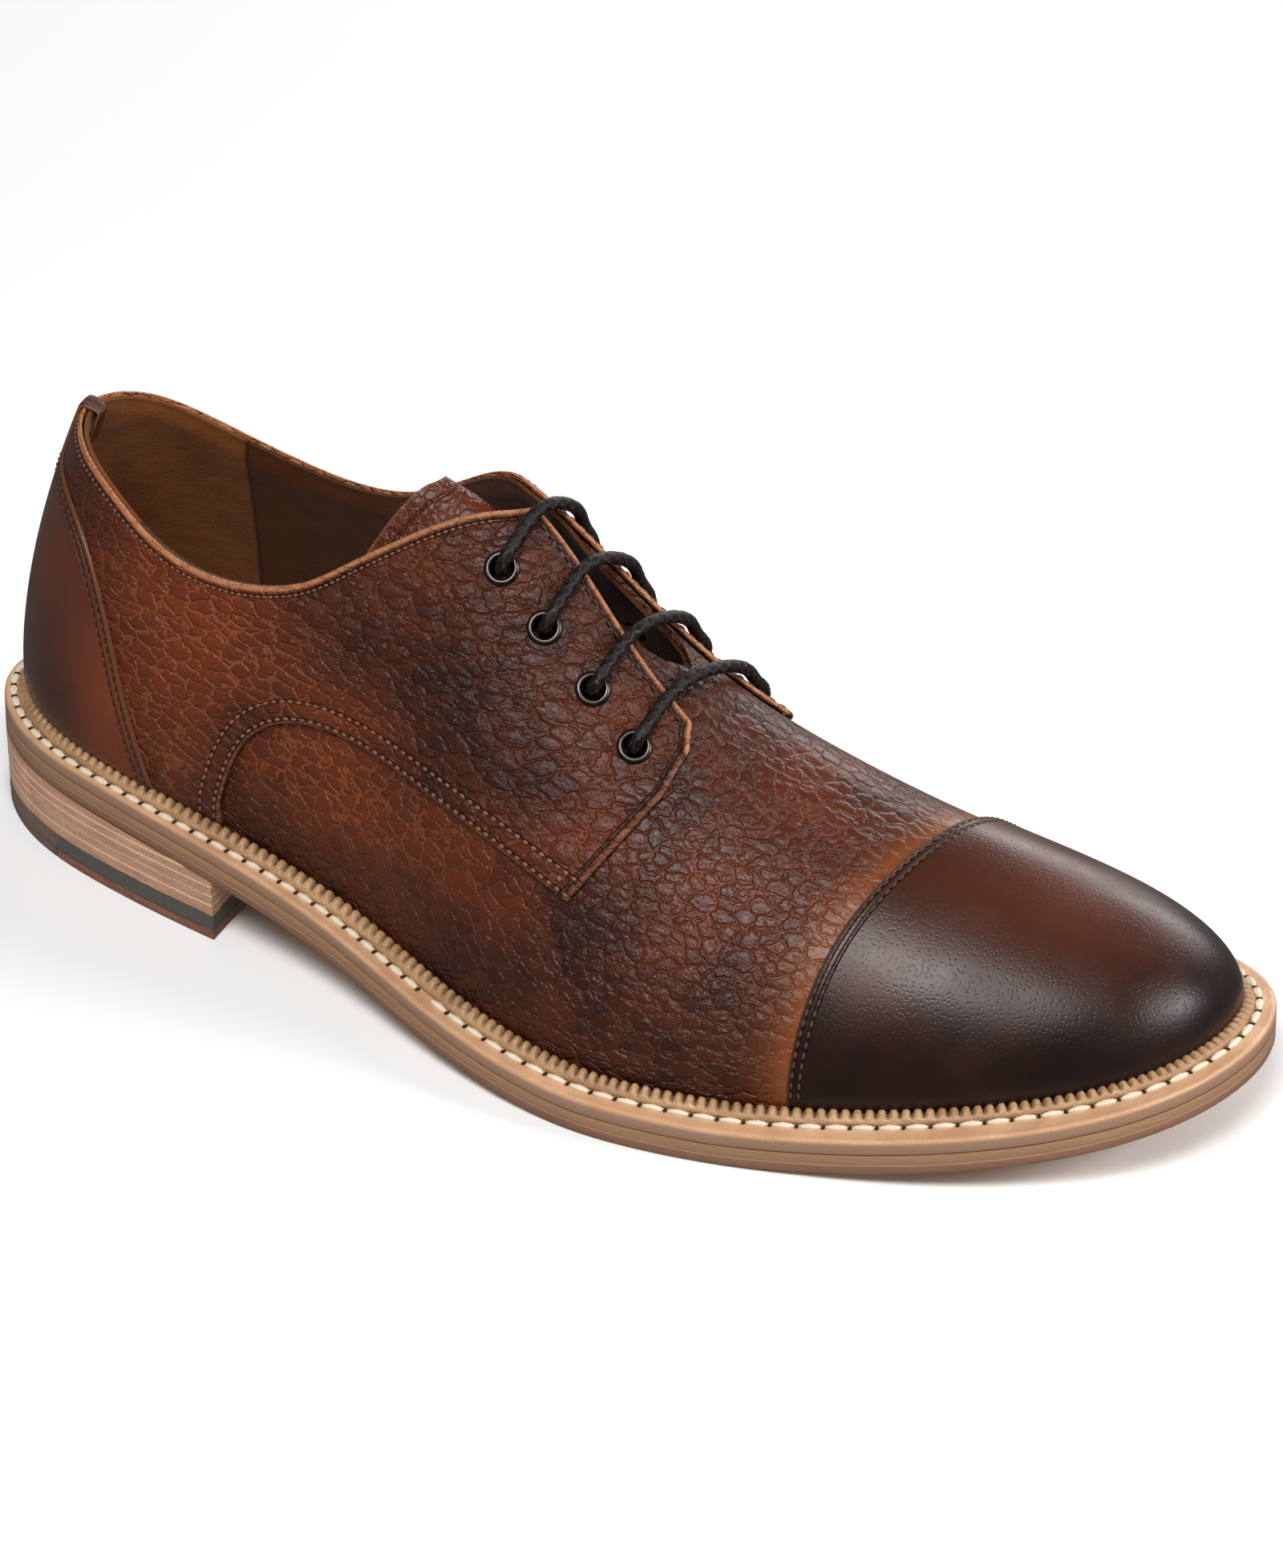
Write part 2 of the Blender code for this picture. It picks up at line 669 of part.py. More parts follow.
# Tongue: a leaf under the facings, flatter than the ridge, running in under the vamp
tongue_depth = np.array(TONGUE_DEPTH)
tongue_grid = []
for u in np.linspace(-1, 1, 11):
    side = "lateral" if u < 0 else "medial"
    top_x = TONGUE_TOP_X - TONGUE_SLANT * abs(u) ** 1.5
    column = []
    for x in np.linspace(TONGUE_END_X, top_x, 11):
        narrow = (x - TONGUE_TOP_X) / (TONGUE_END_X - TONGUE_TOP_X)
        reach = abs(u) * TONGUE_HALF_WIDTH * (1 - 0.1 * narrow)
        s, t = locate(side, x, reach) if reach > 0.5 else (rib_at(side, x), 1.0)
        slope = ridge_slope(x)
        crown = np.array([-slope, 0.0, 1.0]) / np.hypot(slope, 1.0)
        depth, drop = (np.interp(x, tongue_depth[:, 0], tongue_depth[:, k]) for k in (1, 2))
        inner = skin(s, t, -WALL)
        out = (rib(s, t) - inner) / WALL
        down = crown + (out - crown) * abs(u)
        down /= np.linalg.norm(down)
        column.append(inner - down * (depth + (drop - depth) * u * u))
    tongue_grid.append(column)
tongue = add_object("tongue", sheet("tongue", np.array(tongue_grid)), "tongue_leather")
thicken(tongue, TONGUE_THICK, outward=False)

# Insole, welt with its raised bead, and outsole: plates through rings round the foot
seat = WELT_TOP + SEAT_GAP
insole_rings = [edge_ring(RING, WALL + INSOLE_CLEAR, high, True) for high in (seat, seat + INSOLE_THICK)]
stack("insole", insole_rings, RIBS_PER_SIDE - 1, "insole_leather")

welt_low = OUTSOLE_THICK + SEAT_GAP
bead_in = -SEAT_GAP - 0.05
bead_out = bead_in - BEAD_WIDTH
WELT_SECTION = [
    # inset, height, measured from the feather line
    (0.3, welt_low, False),
    (0.0, welt_low + 0.3, False),
    (0.0, WELT_TOP - SOLE_EDGE_ROUND, False),
    (SOLE_EDGE_ROUND, WELT_TOP, False),
    (bead_out, WELT_TOP, True),
    (bead_out + 0.4, WELT_TOP + 0.7 * BEAD_HEIGHT, True),
    (bead_out + 0.5 * BEAD_WIDTH, WELT_TOP + BEAD_HEIGHT, True),
    (bead_in, WELT_TOP + 0.7 * BEAD_HEIGHT, True),
    (bead_in, WELT_TOP, True),
]
welt_rings = [edge_ring(RING, *row) for row in WELT_SECTION]
stack("welt", welt_rings, RIBS_PER_SIDE - 1, "welt_leather")

OUTSOLE_SECTION = [
    # inset, height
    (SOLE_EDGE_ROUND, 0.0),
    (0.0, SOLE_EDGE_ROUND),
    (0.0, OUTSOLE_THICK - 0.3),
    (0.3, OUTSOLE_THICK),
]
outsole_rings = [edge_ring(RING, *row) for row in OUTSOLE_SECTION]
stack("outsole", outsole_rings, RIBS_PER_SIDE - 1, "outsole_leather")

# Stacked heel: two leather lifts, a rubber lift that reaches the floor at the back, and a leather tip
HEEL_POINTS = 13
BREAST_POINTS = 7


def edge_place(side, x):
    """Loop place where the sole's edge passes x, behind the waist."""
    scan = np.linspace(0.0, 0.3, 900) if side == "lateral" else np.linspace(1.0, 0.7, 900)
    return np.interp(x, edge(scan)[:, 0], scan)


def heel_plan(inset, back_x=None):
    """Outline of the heel seen from above: back, lateral side, hollow breast, medial side."""
    bend = np.linspace(0, 1, HEEL_POINTS + 1) ** 1.15
    sides = []
    for side, back in (("lateral", 0.0), ("medial", 1.0)):
        start = back if back_x is None else edge_place(side, back_x)
        run = start + (edge_place(side, BREAST_X) - start) * bend
        sides.append(edge(run)[:, :2] + inward(run) * inset)
    lateral, medial = sides
    share = np.linspace(0, 1, BREAST_POINTS + 2)[1:-1, None]
    breast = lateral[-1] + (medial[-1] - lateral[-1]) * share
    breast[:, 0] -= BREAST_HOLLOW * 4 * (share * (1 - share))[:, 0]
    first = 1 if back_x is None else 0
    return np.r_[lateral, breast, medial[first:][::-1]]


def rear_only(plan):
    """The heel's outline with all that lies ahead of the leather tip's joint drawn back to it."""
    half = HEEL_POINTS + 1
    low = np.interp(RUBBER_TIP_X, plan[:half, 0], plan[:half, 1])
    high = np.interp(RUBBER_TIP_X, plan[:-half:-1, 0], plan[:-half:-1, 1])
    ahead = plan[:, 0] > RUBBER_TIP_X
    rear = plan.copy()
    rear[ahead] = np.c_[np.full(ahead.sum(), RUBBER_TIP_X), np.clip(plan[ahead, 1], low, high)]
    return rear


def level(plan, z):
    return np.c_[plan, np.broadcast_to(z, len(plan))]


top_plan = heel_plan(0.0)
upper_plan = heel_plan(0.4 * HEEL_TAPER)
lower_plan = heel_plan(0.7 * HEEL_TAPER)
tread_plan = heel_plan(0.8 * HEEL_TAPER)
floor_plan = heel_plan(HEEL_TAPER)
upper_lift_top = sole_z(top_plan[:, 0]) - SEAT_GAP
stack("heel_lift_upper", [level(upper_plan, LOWER_LIFT_TOP + SEAT_GAP), level(top_plan, upper_lift_top)],
      HEEL_POINTS, "heel_leather")
stack("heel_lift_lower", [level(lower_plan, RUBBER_TOP + SEAT_GAP), level(upper_plan, LOWER_LIFT_TOP)],
      HEEL_POINTS, "heel_leather")
tip_top = TOP_LEATHER_THICK + SEAT_GAP
rubber_rings = [level(rear_only(heel_plan(HEEL_TAPER + 0.4)), 0.0), level(rear_only(floor_plan), 0.4),
                level(rear_only(tread_plan), tip_top),
                level(tread_plan, tip_top), level(lower_plan, RUBBER_TOP)]
stack("heel_rubber", rubber_rings, HEEL_POINTS, "heel_rubber")
tip_back = RUBBER_TIP_X + SEAT_GAP
tip_rings = [level(heel_plan(HEEL_TAPER + 0.4, tip_back + 0.2), 0.0),
             level(heel_plan(HEEL_TAPER, tip_back + 0.1), 0.4),
             level(heel_plan(0.8 * HEEL_TAPER, tip_back), TOP_LEATHER_THICK)]
stack("heel_tip", tip_rings, HEEL_POINTS, "heel_leather", blunt=True)

# Eyelets: turned metal rings through the facing
EYELET_SECTION = [
    # radius, height over the facing
    (EYELET_BORE, -QUARTER_TOP - WALL - 0.1),
    (EYELET_BARREL, -QUARTER_TOP - WALL - 0.1),
    (EYELET_BARREL, SEAT_GAP),
    (EYELET_FLANGE, SEAT_GAP),
    (EYELET_FLANGE - 0.4, EYELET_RISE),
    (EYELET_BORE + 0.3, EYELET_RISE + 0.1),
    (EYELET_BORE, EYELET_RISE - 0.3),
]
for side, places in eyelets.items():
    for number, (s, t, seat, out) in enumerate(places, 1):
        bm = bmesh.new()
        ring = [bm.verts.new((radius * MM, 0, height * MM)) for radius, height in EYELET_SECTION]
        for a, b in zip(ring, ring[1:] + ring[:1]):
            bm.edges.new((a, b))
        bmesh.ops.spin(bm, geom=bm.verts[:] + bm.edges[:], axis=(0, 0, 1), cent=(0, 0, 0),
                       angle=2 * np.pi, steps=10, use_merge=True)
        bmesh.ops.remove_doubles(bm, verts=bm.verts, dist=0.005 * MM)
        name = "eyelet_%s_%d" % (side, number)
        eyelet = add_object(name, finish(bm, name), "eyelet_metal")
        eyelet.matrix_world = facing_frame(seat, out)

# Lace: one cord in straight bars up the throat, its runs between the bars hidden under the facings
def over_bar(start, end):
    """Way of the lace from one eyelet over both facings to the other."""
    halves = []
    for s, t, seat, out in (start, end):
        side = "lateral" if s < TOE else "medial"
        x = float(rib(s, t)[0])
        lip = locate(side, x + 1.0, facing(x)[side_column(side)] + 1.0)
        lip_point = skin(*lip, QUARTER_TOP + LACE_LIFT)
        middle = skin((s + lip[0]) / 2, (t + lip[1]) / 2, QUARTER_TOP + LACE_LIFT)
        across = (middle - seat) - out * np.dot(middle - seat, out)
        across /= np.linalg.norm(across)
        rise = seat + 2.0 * out + 0.8 * across
        halves.append([seat - 1.4 * out, seat + 0.7 * out, rise, middle, lip_point])
    crest = (halves[0][-1] + halves[1][-1]) / 2
    crest[1:] = ridge(crest[0])
    crest += (0, 0, LACE_LIFT)
    return halves[0] + [crest] + halves[1][::-1]


def under_run(start, end):
    """Way of the lace under the facing from one eyelet to the next."""
    deep = -WALL - 0.5 * LACE_CHANNEL
    run = [skin(start[0] + (end[0] - start[0]) * f, start[1] + (end[1] - start[1]) * f, deep)
           for f in (0.25, 0.5, 0.75)]
    along = (run[2] - run[0]) / np.linalg.norm(run[2] - run[0])
    turn_in = start[2] - (QUARTER_TOP + WALL + 0.7) * start[3] + 0.5 * along
    turn_out = end[2] - (QUARTER_TOP + WALL + 0.7) * end[3] - 0.5 * along
    return [turn_in] + run + [turn_out]


def idle_end(places):
    """Way of the lace's idle end, beside one row of eyelets from the top one to the lowest."""
    deep = -WALL - 0.5 * LACE_CHANNEL
    beside = np.array([(s, t - LACE_ASIDE) for s, t, seat, out in places])
    beside[-1] = 0.4 * beside[-2] + 0.6 * beside[-1]
    seat, out = places[-1][2:]
    return [skin(s, t, deep) for s, t in beside] + [seat - (QUARTER_TOP + WALL + 0.7) * out]


route = idle_end(eyelets["lateral"])
side_order = ["lateral", "medial"]
for level in (3, 2, 1, 0):
    first, second = side_order
    route += over_bar(eyelets[first][level], eyelets[second][level])
    if level:
        route += under_run(eyelets[second][level], eyelets[second][level - 1])
    side_order.reverse()
route = np.array(route)
way = smooth_line(route, int(1.5 * len(route)))
cord = bpy.data.curves.new("lace", "CURVE")
cord.dimensions = "3D"
cord.bevel_depth = LACE_RADIUS * MM
cord.bevel_resolution = 1
cord.use_fill_caps = True
run = cord.splines.new("POLY")
run.points.add(len(way) - 1)
for point, place in zip(run.points, to_shoe(way)):
    point.co = (*place, 1.0)
cord.materials.append(material("lace_cord"))
lace = bpy.data.objects.new("lace", cord)
shoe.objects.link(lace)
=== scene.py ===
"""Looks of the cap toe derby shoe: leather, stitching, welt, stacked heel, eyelets and lace.

Sizes are in millimetres in the maker's drawing frame, with x from the heel's back to the toe, y to the
medial (inner) side and z up from the floor.  Meshes are made in metres about the centre of the footprint.
"""

import bmesh
import bpy
import numpy as np
from mathutils import Matrix, Vector


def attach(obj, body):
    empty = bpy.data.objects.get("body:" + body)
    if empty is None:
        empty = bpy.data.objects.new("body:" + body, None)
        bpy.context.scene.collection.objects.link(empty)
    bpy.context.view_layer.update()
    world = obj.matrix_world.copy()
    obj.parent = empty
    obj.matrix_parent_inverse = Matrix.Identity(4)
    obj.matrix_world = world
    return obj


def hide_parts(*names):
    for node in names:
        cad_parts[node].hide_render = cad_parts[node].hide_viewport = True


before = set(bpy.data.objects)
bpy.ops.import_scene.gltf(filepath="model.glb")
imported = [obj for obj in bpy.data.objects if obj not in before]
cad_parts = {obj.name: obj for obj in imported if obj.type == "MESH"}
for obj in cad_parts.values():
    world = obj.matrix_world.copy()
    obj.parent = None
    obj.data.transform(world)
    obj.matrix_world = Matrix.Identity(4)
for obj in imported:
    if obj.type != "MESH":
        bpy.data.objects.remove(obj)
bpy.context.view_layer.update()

# Insole: a leather board inside the shoe, covered with a thin tan sock that the foot stands on.
# It is cut to the feather line, a little inside the wall, and lies on the welted bottom.
MM = 0.001
LENGTH = 302.5
BALL_WIDTH = 113.0
HEEL_HEIGHT = 17.5
TOE_SPRING = 13.5
OUTSOLE_THICK = 4.9
WELT_THICK = 3.2
JOINT_GAP = 0.3
WELT_LOW = OUTSOLE_THICK + 0.1
WELT_TOP = OUTSOLE_THICK + JOINT_GAP + WELT_THICK
INSOLE_THICK = 3.0
INSOLE_CLEAR = 2.9
INSOLE_CUP = 1.4
INSOLE_COLUMNS = 13
SOCK_DARK = (0.16, 0.075, 0.032)
SOCK_LIGHT = (0.27, 0.14, 0.065)
NUDGE = 1e-4
MERGE_DISTANCE = 0.01
LEAST_EDGE = 0.002
SHARP_ANGLE = 40.0
RIBS = 110
CROWDING = 0.25
FAN_X = 263.0

SOLE_EDGE = [
    # along, across, margin, ridge, lean, wall, crown
    (0.000, 0.000, 7.0, 0.142, 4.5, 0.34, 0.30),
    (0.046, -0.186, 7.0, 0.155, 6.5, 0.34, 0.46),
    (0.136, -0.292, 6.5, 0.192, 9.0, 0.34, 0.62),
    (0.253, -0.354, 7.5, 0.271, 7.0, 0.32, 0.60),
    (0.360, -0.407, 8.5, 0.370, 4.0, 0.30, 0.50),
    (0.478, -0.509, 8.5, 0.489, 3.0, 0.32, 0.50),
    (0.610, -0.562, 9.0, 0.618, 7.0, 0.36, 0.55),
    (0.752, -0.487, 10.0, 0.744, 10.0, 0.42, 0.60),
    (0.884, -0.350, 11.0, 0.833, 12.0, 0.46, 0.62),
    (0.969, -0.168, 10.5, 0.873, 14.0, 0.50, 0.62),
    (1.000, 0.057, 9.5, 0.886, 14.0, 0.52, 0.62),
    (0.982, 0.257, 8.5, 0.879, 12.0, 0.48, 0.58),
    (0.912, 0.398, 8.5, 0.846, 10.0, 0.44, 0.55),
    (0.793, 0.438, 9.0, 0.777, 8.0, 0.40, 0.52),
    (0.661, 0.416, 9.0, 0.655, 5.0, 0.36, 0.50),
    (0.529, 0.336, 8.5, 0.522, 0.0, 0.32, 0.46),
    (0.397, 0.274, 8.0, 0.390, 0.0, 0.30, 0.46),
    (0.251, 0.265, 7.0, 0.271, 4.0, 0.32, 0.58),
    (0.112, 0.248, 6.5, 0.188, 8.0, 0.34, 0.62),
    (0.026, 0.150, 7.0, 0.155, 6.5, 0.34, 0.46),
]
TOE_ROW = 10

SOLE_PROFILE = [
    # along, share of the heel height, share of the toe spring
    (-0.020, 1.000, 0.000),
    (0.000, 1.000, 0.000),
    (0.132, 1.000, 0.000),
    (0.258, 0.823, 0.000),
    (0.413, 0.389, 0.000),
    (0.529, 0.109, 0.000),
    (0.612, -0.003, 0.000),
    (0.661, -0.009, 0.000),
    (0.701, 0.000, 0.000),
    (0.760, 0.000, 0.081),
    (0.876, 0.000, 0.430),
    (1.000, 0.000, 1.000),
    (1.025, 0.000, 1.126),
]


def spline(knots, rows, closed=False):
    """Cubic curve through rows of values at rising knots, natural at its ends or closed on itself."""
    knots = np.asarray(knots, float)
    rows = np.asarray(rows, float)
    count = len(knots)
    step = np.diff(knots)
    rise = np.diff(rows, axis=0) / step[:, None]
    matrix = np.eye(count)
    right = np.zeros_like(rows)
    for i in range(1, count - 1):
        matrix[i, i - 1:i + 2] = step[i - 1], 2 * (step[i - 1] + step[i]), step[i]
        right[i] = 6 * (rise[i] - rise[i - 1])
    if closed:
        matrix[0, [0, 1, count - 2]] = 2 * (step[0] + step[-1]), step[0], step[-1]
        right[0] = 6 * (rise[0] - rise[-1])
        matrix[-1, 0] = -1
    bend = np.linalg.solve(matrix, right)

    def at(place):
        place = np.asarray(place, float)
        if closed:
            place = knots[0] + np.mod(place - knots[0], knots[-1] - knots[0])
        i = np.clip(np.searchsorted(knots, place, side="right") - 1, 0, count - 2)
        span = step[i][..., None]
        a = (knots[i + 1] - place)[..., None] / span
        b = 1 - a
        curve = (a ** 3 - a) * bend[i] + (b ** 3 - b) * bend[i + 1]
        return a * rows[i] + b * rows[i + 1] + curve * span ** 2 / 6

    return at


def column_spline(table):
    """Spline over a table whose first column is the place."""
    table = np.array(table, float)
    return spline(table[:, 0], table[:, 1:])


edge_table = np.array(SOLE_EDGE + SOLE_EDGE[:1], float)
edge_table[:, [0, 3]] *= LENGTH
edge_table[:, 1] *= BALL_WIDTH
edge_chord = np.hypot(np.diff(edge_table[:, 0]), np.diff(edge_table[:, 1])) ** 0.75
edge_knots = np.r_[0, np.cumsum(edge_chord)] / edge_chord.sum()
edge = spline(edge_knots, edge_table, closed=True)
TOE = edge_knots[TOE_ROW]
profile_table = np.array(SOLE_PROFILE, float) * (LENGTH, HEEL_HEIGHT, TOE_SPRING)
profile = column_spline(np.c_[profile_table[:, 0], profile_table[:, 1] + profile_table[:, 2]])
around = edge(np.linspace(0, 1, 2000))[:, :2]
CENTRE = np.r_[(around.min(0) + around.max(0)) / 2, 0.0]


def to_shoe(points):
    """Drawing millimetres to metres about the centre of the footprint."""
    return (np.asarray(points, float) - CENTRE) * MM


def sole_z(x):
    """Height of the sole's underside."""
    return np.maximum(profile(x)[..., 0], 0.0)


def unit(vectors):
    """Directions of vectors, each of length one."""
    return vectors / np.linalg.norm(vectors, axis=-1, keepdims=True)


def inward(s):
    """Unit direction from the sole's edge into the shoe, seen from above."""
    along = (edge(s + NUDGE) - edge(s - NUDGE))[..., :2]
    return unit(np.stack([-along[..., 1], along[..., 0]], -1))


def edge_ring(s, inset, height, on_feather=False):
    """Points round the sole at an inset from its edge and a height above its underside."""
    row = edge(s)
    above = height - WELT_TOP
    reach = inset + (row[:, 2] - above * np.tan(np.radians(row[:, 4])) if on_feather else 0.0)
    plan = row[:, :2] + inward(s) * np.reshape(reach, (-1, 1))
    return np.c_[plan, sole_z(plan[:, 0]) + height]


def across_row(sides, share, height):
    """Row of points between two sides of the shoe, at a height above the sole's underside."""
    row = sides[0] + (sides[1] - sides[0]) * share
    row[:, 2] = sole_z(row[:, 0]) + height
    return row


# Rib stations from heel to toe on both sides, paired where they meet on the ridge
walk = np.linspace(0, 1, RIBS + 1)
lateral_s = TOE * (walk - CROWDING * np.sin(2 * np.pi * walk) / (2 * np.pi))
medial_scan = np.linspace(1, TOE, 3000)
medial_s = np.interp(edge(lateral_s)[:, 3], edge(medial_scan)[:, 3], medial_scan)
fan_start = int(np.argmax(edge(lateral_s)[:, 3] >= FAN_X))
fan_share = np.linspace(0, 1, RIBS + 1 - fan_start)
medial_s[fan_start:] = medial_s[fan_start] + (TOE - medial_s[fan_start]) * fan_share


def woven(points, layers):
    """Surface on a grid of points[column][row], with named values at each point."""
    columns, rows = points.shape[:2]
    bm = bmesh.new()
    bmesh.ops.create_grid(bm, x_segments=columns - 1, y_segments=rows - 1, size=1)
    places = to_shoe(points)
    kept = {key: bm.verts.layers.float.new(key) for key in layers}
    for vert in bm.verts:
        i = round((vert.co.x + 1) / 2 * (columns - 1))
        j = round((vert.co.y + 1) / 2 * (rows - 1))
        vert.co = places[i, j]
        for key, layer in kept.items():
            vert[layer] = layers[key][i, j]
    bmesh.ops.remove_doubles(bm, verts=bm.verts, dist=MERGE_DISTANCE * MM)
    bmesh.ops.dissolve_degenerate(bm, edges=bm.edges, dist=LEAST_EDGE * MM)
    return bm


def mesh_of(name, bm):
    """Mesh made from one under work, which is then let go."""
    mesh = bpy.data.meshes.new(name)
    bm.to_mesh(mesh)
    bm.free()
    return mesh


def stand(name, data):
    """New object in the scene that holds a mesh, a light or a camera."""
    made = bpy.data.objects.new(name, data)
    bpy.context.scene.collection.objects.link(made)
    return made


def piece(name, bm, material, replaced=None, sharp=SHARP_ANGLE):
    """Turn a mesh under work into a finished piece that rides on the shoe."""
    mesh = mesh_of(name, bm)
    mesh.materials.append(material)
    mesh.shade_smooth()
    mesh.set_sharp_from_angle(angle=np.radians(sharp))
    made = stand(name, mesh)
    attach(made, "root")
    if replaced:
        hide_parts(replaced)
    return made


def settle(made):
    """Make a piece's modifiers part of its mesh."""
    ready = made.evaluated_get(bpy.context.evaluated_depsgraph_get())
    mesh = bpy.data.meshes.new_from_object(ready)
    mesh.name = made.name
    made.modifiers.clear()
    made.data = mesh
    mesh.set_sharp_from_angle(angle=np.radians(SHARP_ANGLE))


def sheet(name, points, layers, material, replaced, thickness):
    """Finished sheet on a grid of points, with its thickness inward from the face that shows."""
    made = piece(name, woven(points, layers), material, replaced)
    solid = made.modifiers.new("thickness", "SOLIDIFY")
    solid.thickness = thickness * MM
    solid.offset = -1.0
    solid.use_quality_normals = True
    settle(made)
    return made


def wire(tree, kind, inputs=None, **settings):
    """Add a shader node, set it up and join its inputs."""
    made = tree.nodes.new("ShaderNode" + kind)
    for key, value in settings.items():
        setattr(made, key, value)
    for key, value in (inputs or {}).items():
        if isinstance(value, bpy.types.NodeSocket):
            tree.links.new(value, made.inputs[key])
        else:
            made.inputs[key].default_value = value
    return made


def blend(tree, share, a, b):
    """Mix of two colours by a share."""
    a, b = (v if isinstance(v, bpy.types.NodeSocket) else (*v, 1.0) for v in (a, b))
    return wire(tree, "Mix", {0: share, 6: a, 7: b}, data_type="RGBA").outputs[2]


def ramp(tree, value, low, high, start=0.0, end=1.0):
    """Soft step of a value from one number to another."""
    inputs = {"Value": value, "From Min": low, "From Max": high, "To Min": start, "To Max": end}
    return wire(tree, "MapRange", inputs, interpolation_type="SMOOTHSTEP").outputs["Result"]


def turned(tree, angles=(0, 0, 0), scale=(1, 1, 1)):
    """Object coordinates, turned and scaled for a pattern."""
    place = wire(tree, "TexCoord").outputs["Object"]
    inputs = {"Vector": place, "Rotation": np.radians(angles), "Scale": scale}
    return wire(tree, "Mapping", inputs).outputs["Vector"]


def noise(tree, vector, scale, detail=3.0, roughness=0.55):
    """Noise at a place, as a node."""
    inputs = {"Vector": vector, "Scale": scale, "Detail": detail, "Roughness": roughness}
    return wire(tree, "TexNoise", inputs)


def finish(name, roughness, specular=0.5, **sockets):
    """New material with its plain numbers set on the shader."""
    made = bpy.data.materials.new(name)
    made.use_nodes = True
    shader = made.node_tree.nodes["Principled BSDF"]
    shader.inputs["Roughness"].default_value = roughness
    shader.inputs["Specular IOR Level"].default_value = specular
    for key, value in sockets.items():
        shader.inputs[key.replace("_", " ").title()].default_value = value
    return made, made.node_tree, shader


def dress(tree, shader, colour, roughness=None, height=None, depth=0.3):
    """Join a finish's varying colour, roughness and relief (depth in millimetres) to its shader."""
    for socket, key in ((colour, "Base Color"), (roughness, "Roughness")):
        if socket is not None:
            tree.links.new(socket, shader.inputs[key])
    if height is not None:
        bump = wire(tree, "Bump", {"Height": height, "Distance": depth * MM})
        tree.links.new(bump.outputs["Normal"], shader.inputs["Normal"])


def shader_group(name, inputs, outputs):
    """New shader group with its sockets, and the nodes that hold them inside."""
    tree = bpy.data.node_groups.new(name, "ShaderNodeTree")
    for label, kind, value in inputs:
        socket = tree.interface.new_socket(label, in_out="INPUT", socket_type="NodeSocket" + kind)
        if value is not None:
            socket.default_value = value
    for label, kind in outputs:
        tree.interface.new_socket(label, in_out="OUTPUT", socket_type="NodeSocket" + kind)
    return tree, tree.nodes.new("NodeGroupInput"), tree.nodes.new("NodeGroupOutput")


def place_group(tree, group, inputs):
    """Outputs of a shader group put to use in a material."""
    return wire(tree, "Group", inputs, node_tree=group).outputs


# Fine pores that any smooth or suede leather shows
pores, pores_in, pores_out = shader_group(
    "leather_pores",
    [("Vector", "Vector", None), ("Pores per metre", "Float", 900.0)],
    [("Height", "Float"), ("Mottle", "Float")])
pore_cells = wire(pores, "TexVoronoi", {"Vector": pores_in.outputs[0], "Scale": pores_in.outputs[1]})
pore_dip = ramp(pores, pore_cells.outputs["Distance"], 0.05, 0.5)
pore_cloud = noise(pores, pores_in.outputs[0], 60.0, 4.0).outputs["Fac"]
pores.links.new(pore_dip, pores_out.inputs["Height"])
pores.links.new(pore_cloud, pores_out.inputs["Mottle"])


def pored(tree, per_metre):
    """Height and mottle of a leather's pores."""
    return place_group(tree, pores, {"Vector": turned(tree), "Pores per metre": per_metre})


sock_leather, tree, shader = finish("sock_leather", roughness=0.62)
sock_pores = pored(tree, 700.0)
sock_colour = blend(tree, sock_pores["Mottle"], SOCK_DARK, SOCK_LIGHT)
dress(tree, shader, sock_colour, height=sock_pores["Height"], depth=0.08)

insole_height = WELT_TOP + JOINT_GAP + INSOLE_THICK
insole_sides = [edge_ring(s, INSOLE_CLEAR, insole_height, True) for s in (lateral_s, medial_s)]
insole_points = []
for u in np.linspace(0, 1, INSOLE_COLUMNS):
    cup = INSOLE_CUP * (1 - (2 * u - 1) ** 2)
    insole_points.append(across_row(insole_sides, u, insole_height - cup))
insole_grid = np.array(insole_points).transpose(1, 0, 2)
sheet("insole_board", insole_grid, {}, sock_leather, "insole", INSOLE_THICK - INSOLE_CUP)

# Vamp and inner quarters: one hollow upper of pebbled brown calf, lasted over the foot's shape and
# drawn in under the insole.  The vamp is left pale along the toe cap and is burnished darker elsewhere.
INSTEP_HEIGHT = 107.5
UPPER_THICK = 1.0
UPPER_ROWS = 44
SIDES = ("lateral", "medial")
COLLAR_TRIM = 5.0
TRIM_END_X = 150.0
TRIM_FADE = 10.0
VAMP_POINT_X = 172.0
VAMP_NOTCH = 14.0
THROAT_LEAD = 20.0
CAP_SEARCH = ((200.0, 250.0), (205.0, 255.0))
RIB_NUDGE = 1e-3
CREST_START = 0.9
NO_ROW = 9999.0
BURNISH_DARK = (0.0215, 0.0060, 0.0036, 1)
BURNISH_WARM = (0.185, 0.0315, 0.0034, 1)
# painted highlights: lighter crease lines that stand for the glints the lamps give on the crease rims
CREASE_GLINT_DIM = (0.125, 0.034, 0.010)
CREASE_GLINT_WARM = (0.36, 0.095, 0.022)
FURROW_SHADOW = (0.006, 0.003, 0.002)
PALE_TAN = (0.27, 0.078, 0.018)
PALE_REACH = 12.0
PALE_FALL = 2.2
PALE_SHARE = 0.66
VAMP_WARMTH = 0.10

RIDGE = [
    # along, across, share of the instep height
    (0.099, -0.009, 1.160),
    (0.165, -0.018, 1.175),
    (0.264, -0.035, 1.155),
    (0.347, -0.044, 1.121),
    (0.397, -0.035, 1.074),
    (0.450, -0.027, 1.000),
    (0.506, -0.018, 0.874),
    (0.562, -0.009, 0.744),
    (0.618, 0.000, 0.647),
    (0.678, 0.009, 0.577),
    (0.744, 0.018, 0.521),
    (0.810, 0.035, 0.474),
    (0.866, 0.053, 0.428),
    (0.893, 0.058, 0.405),
]

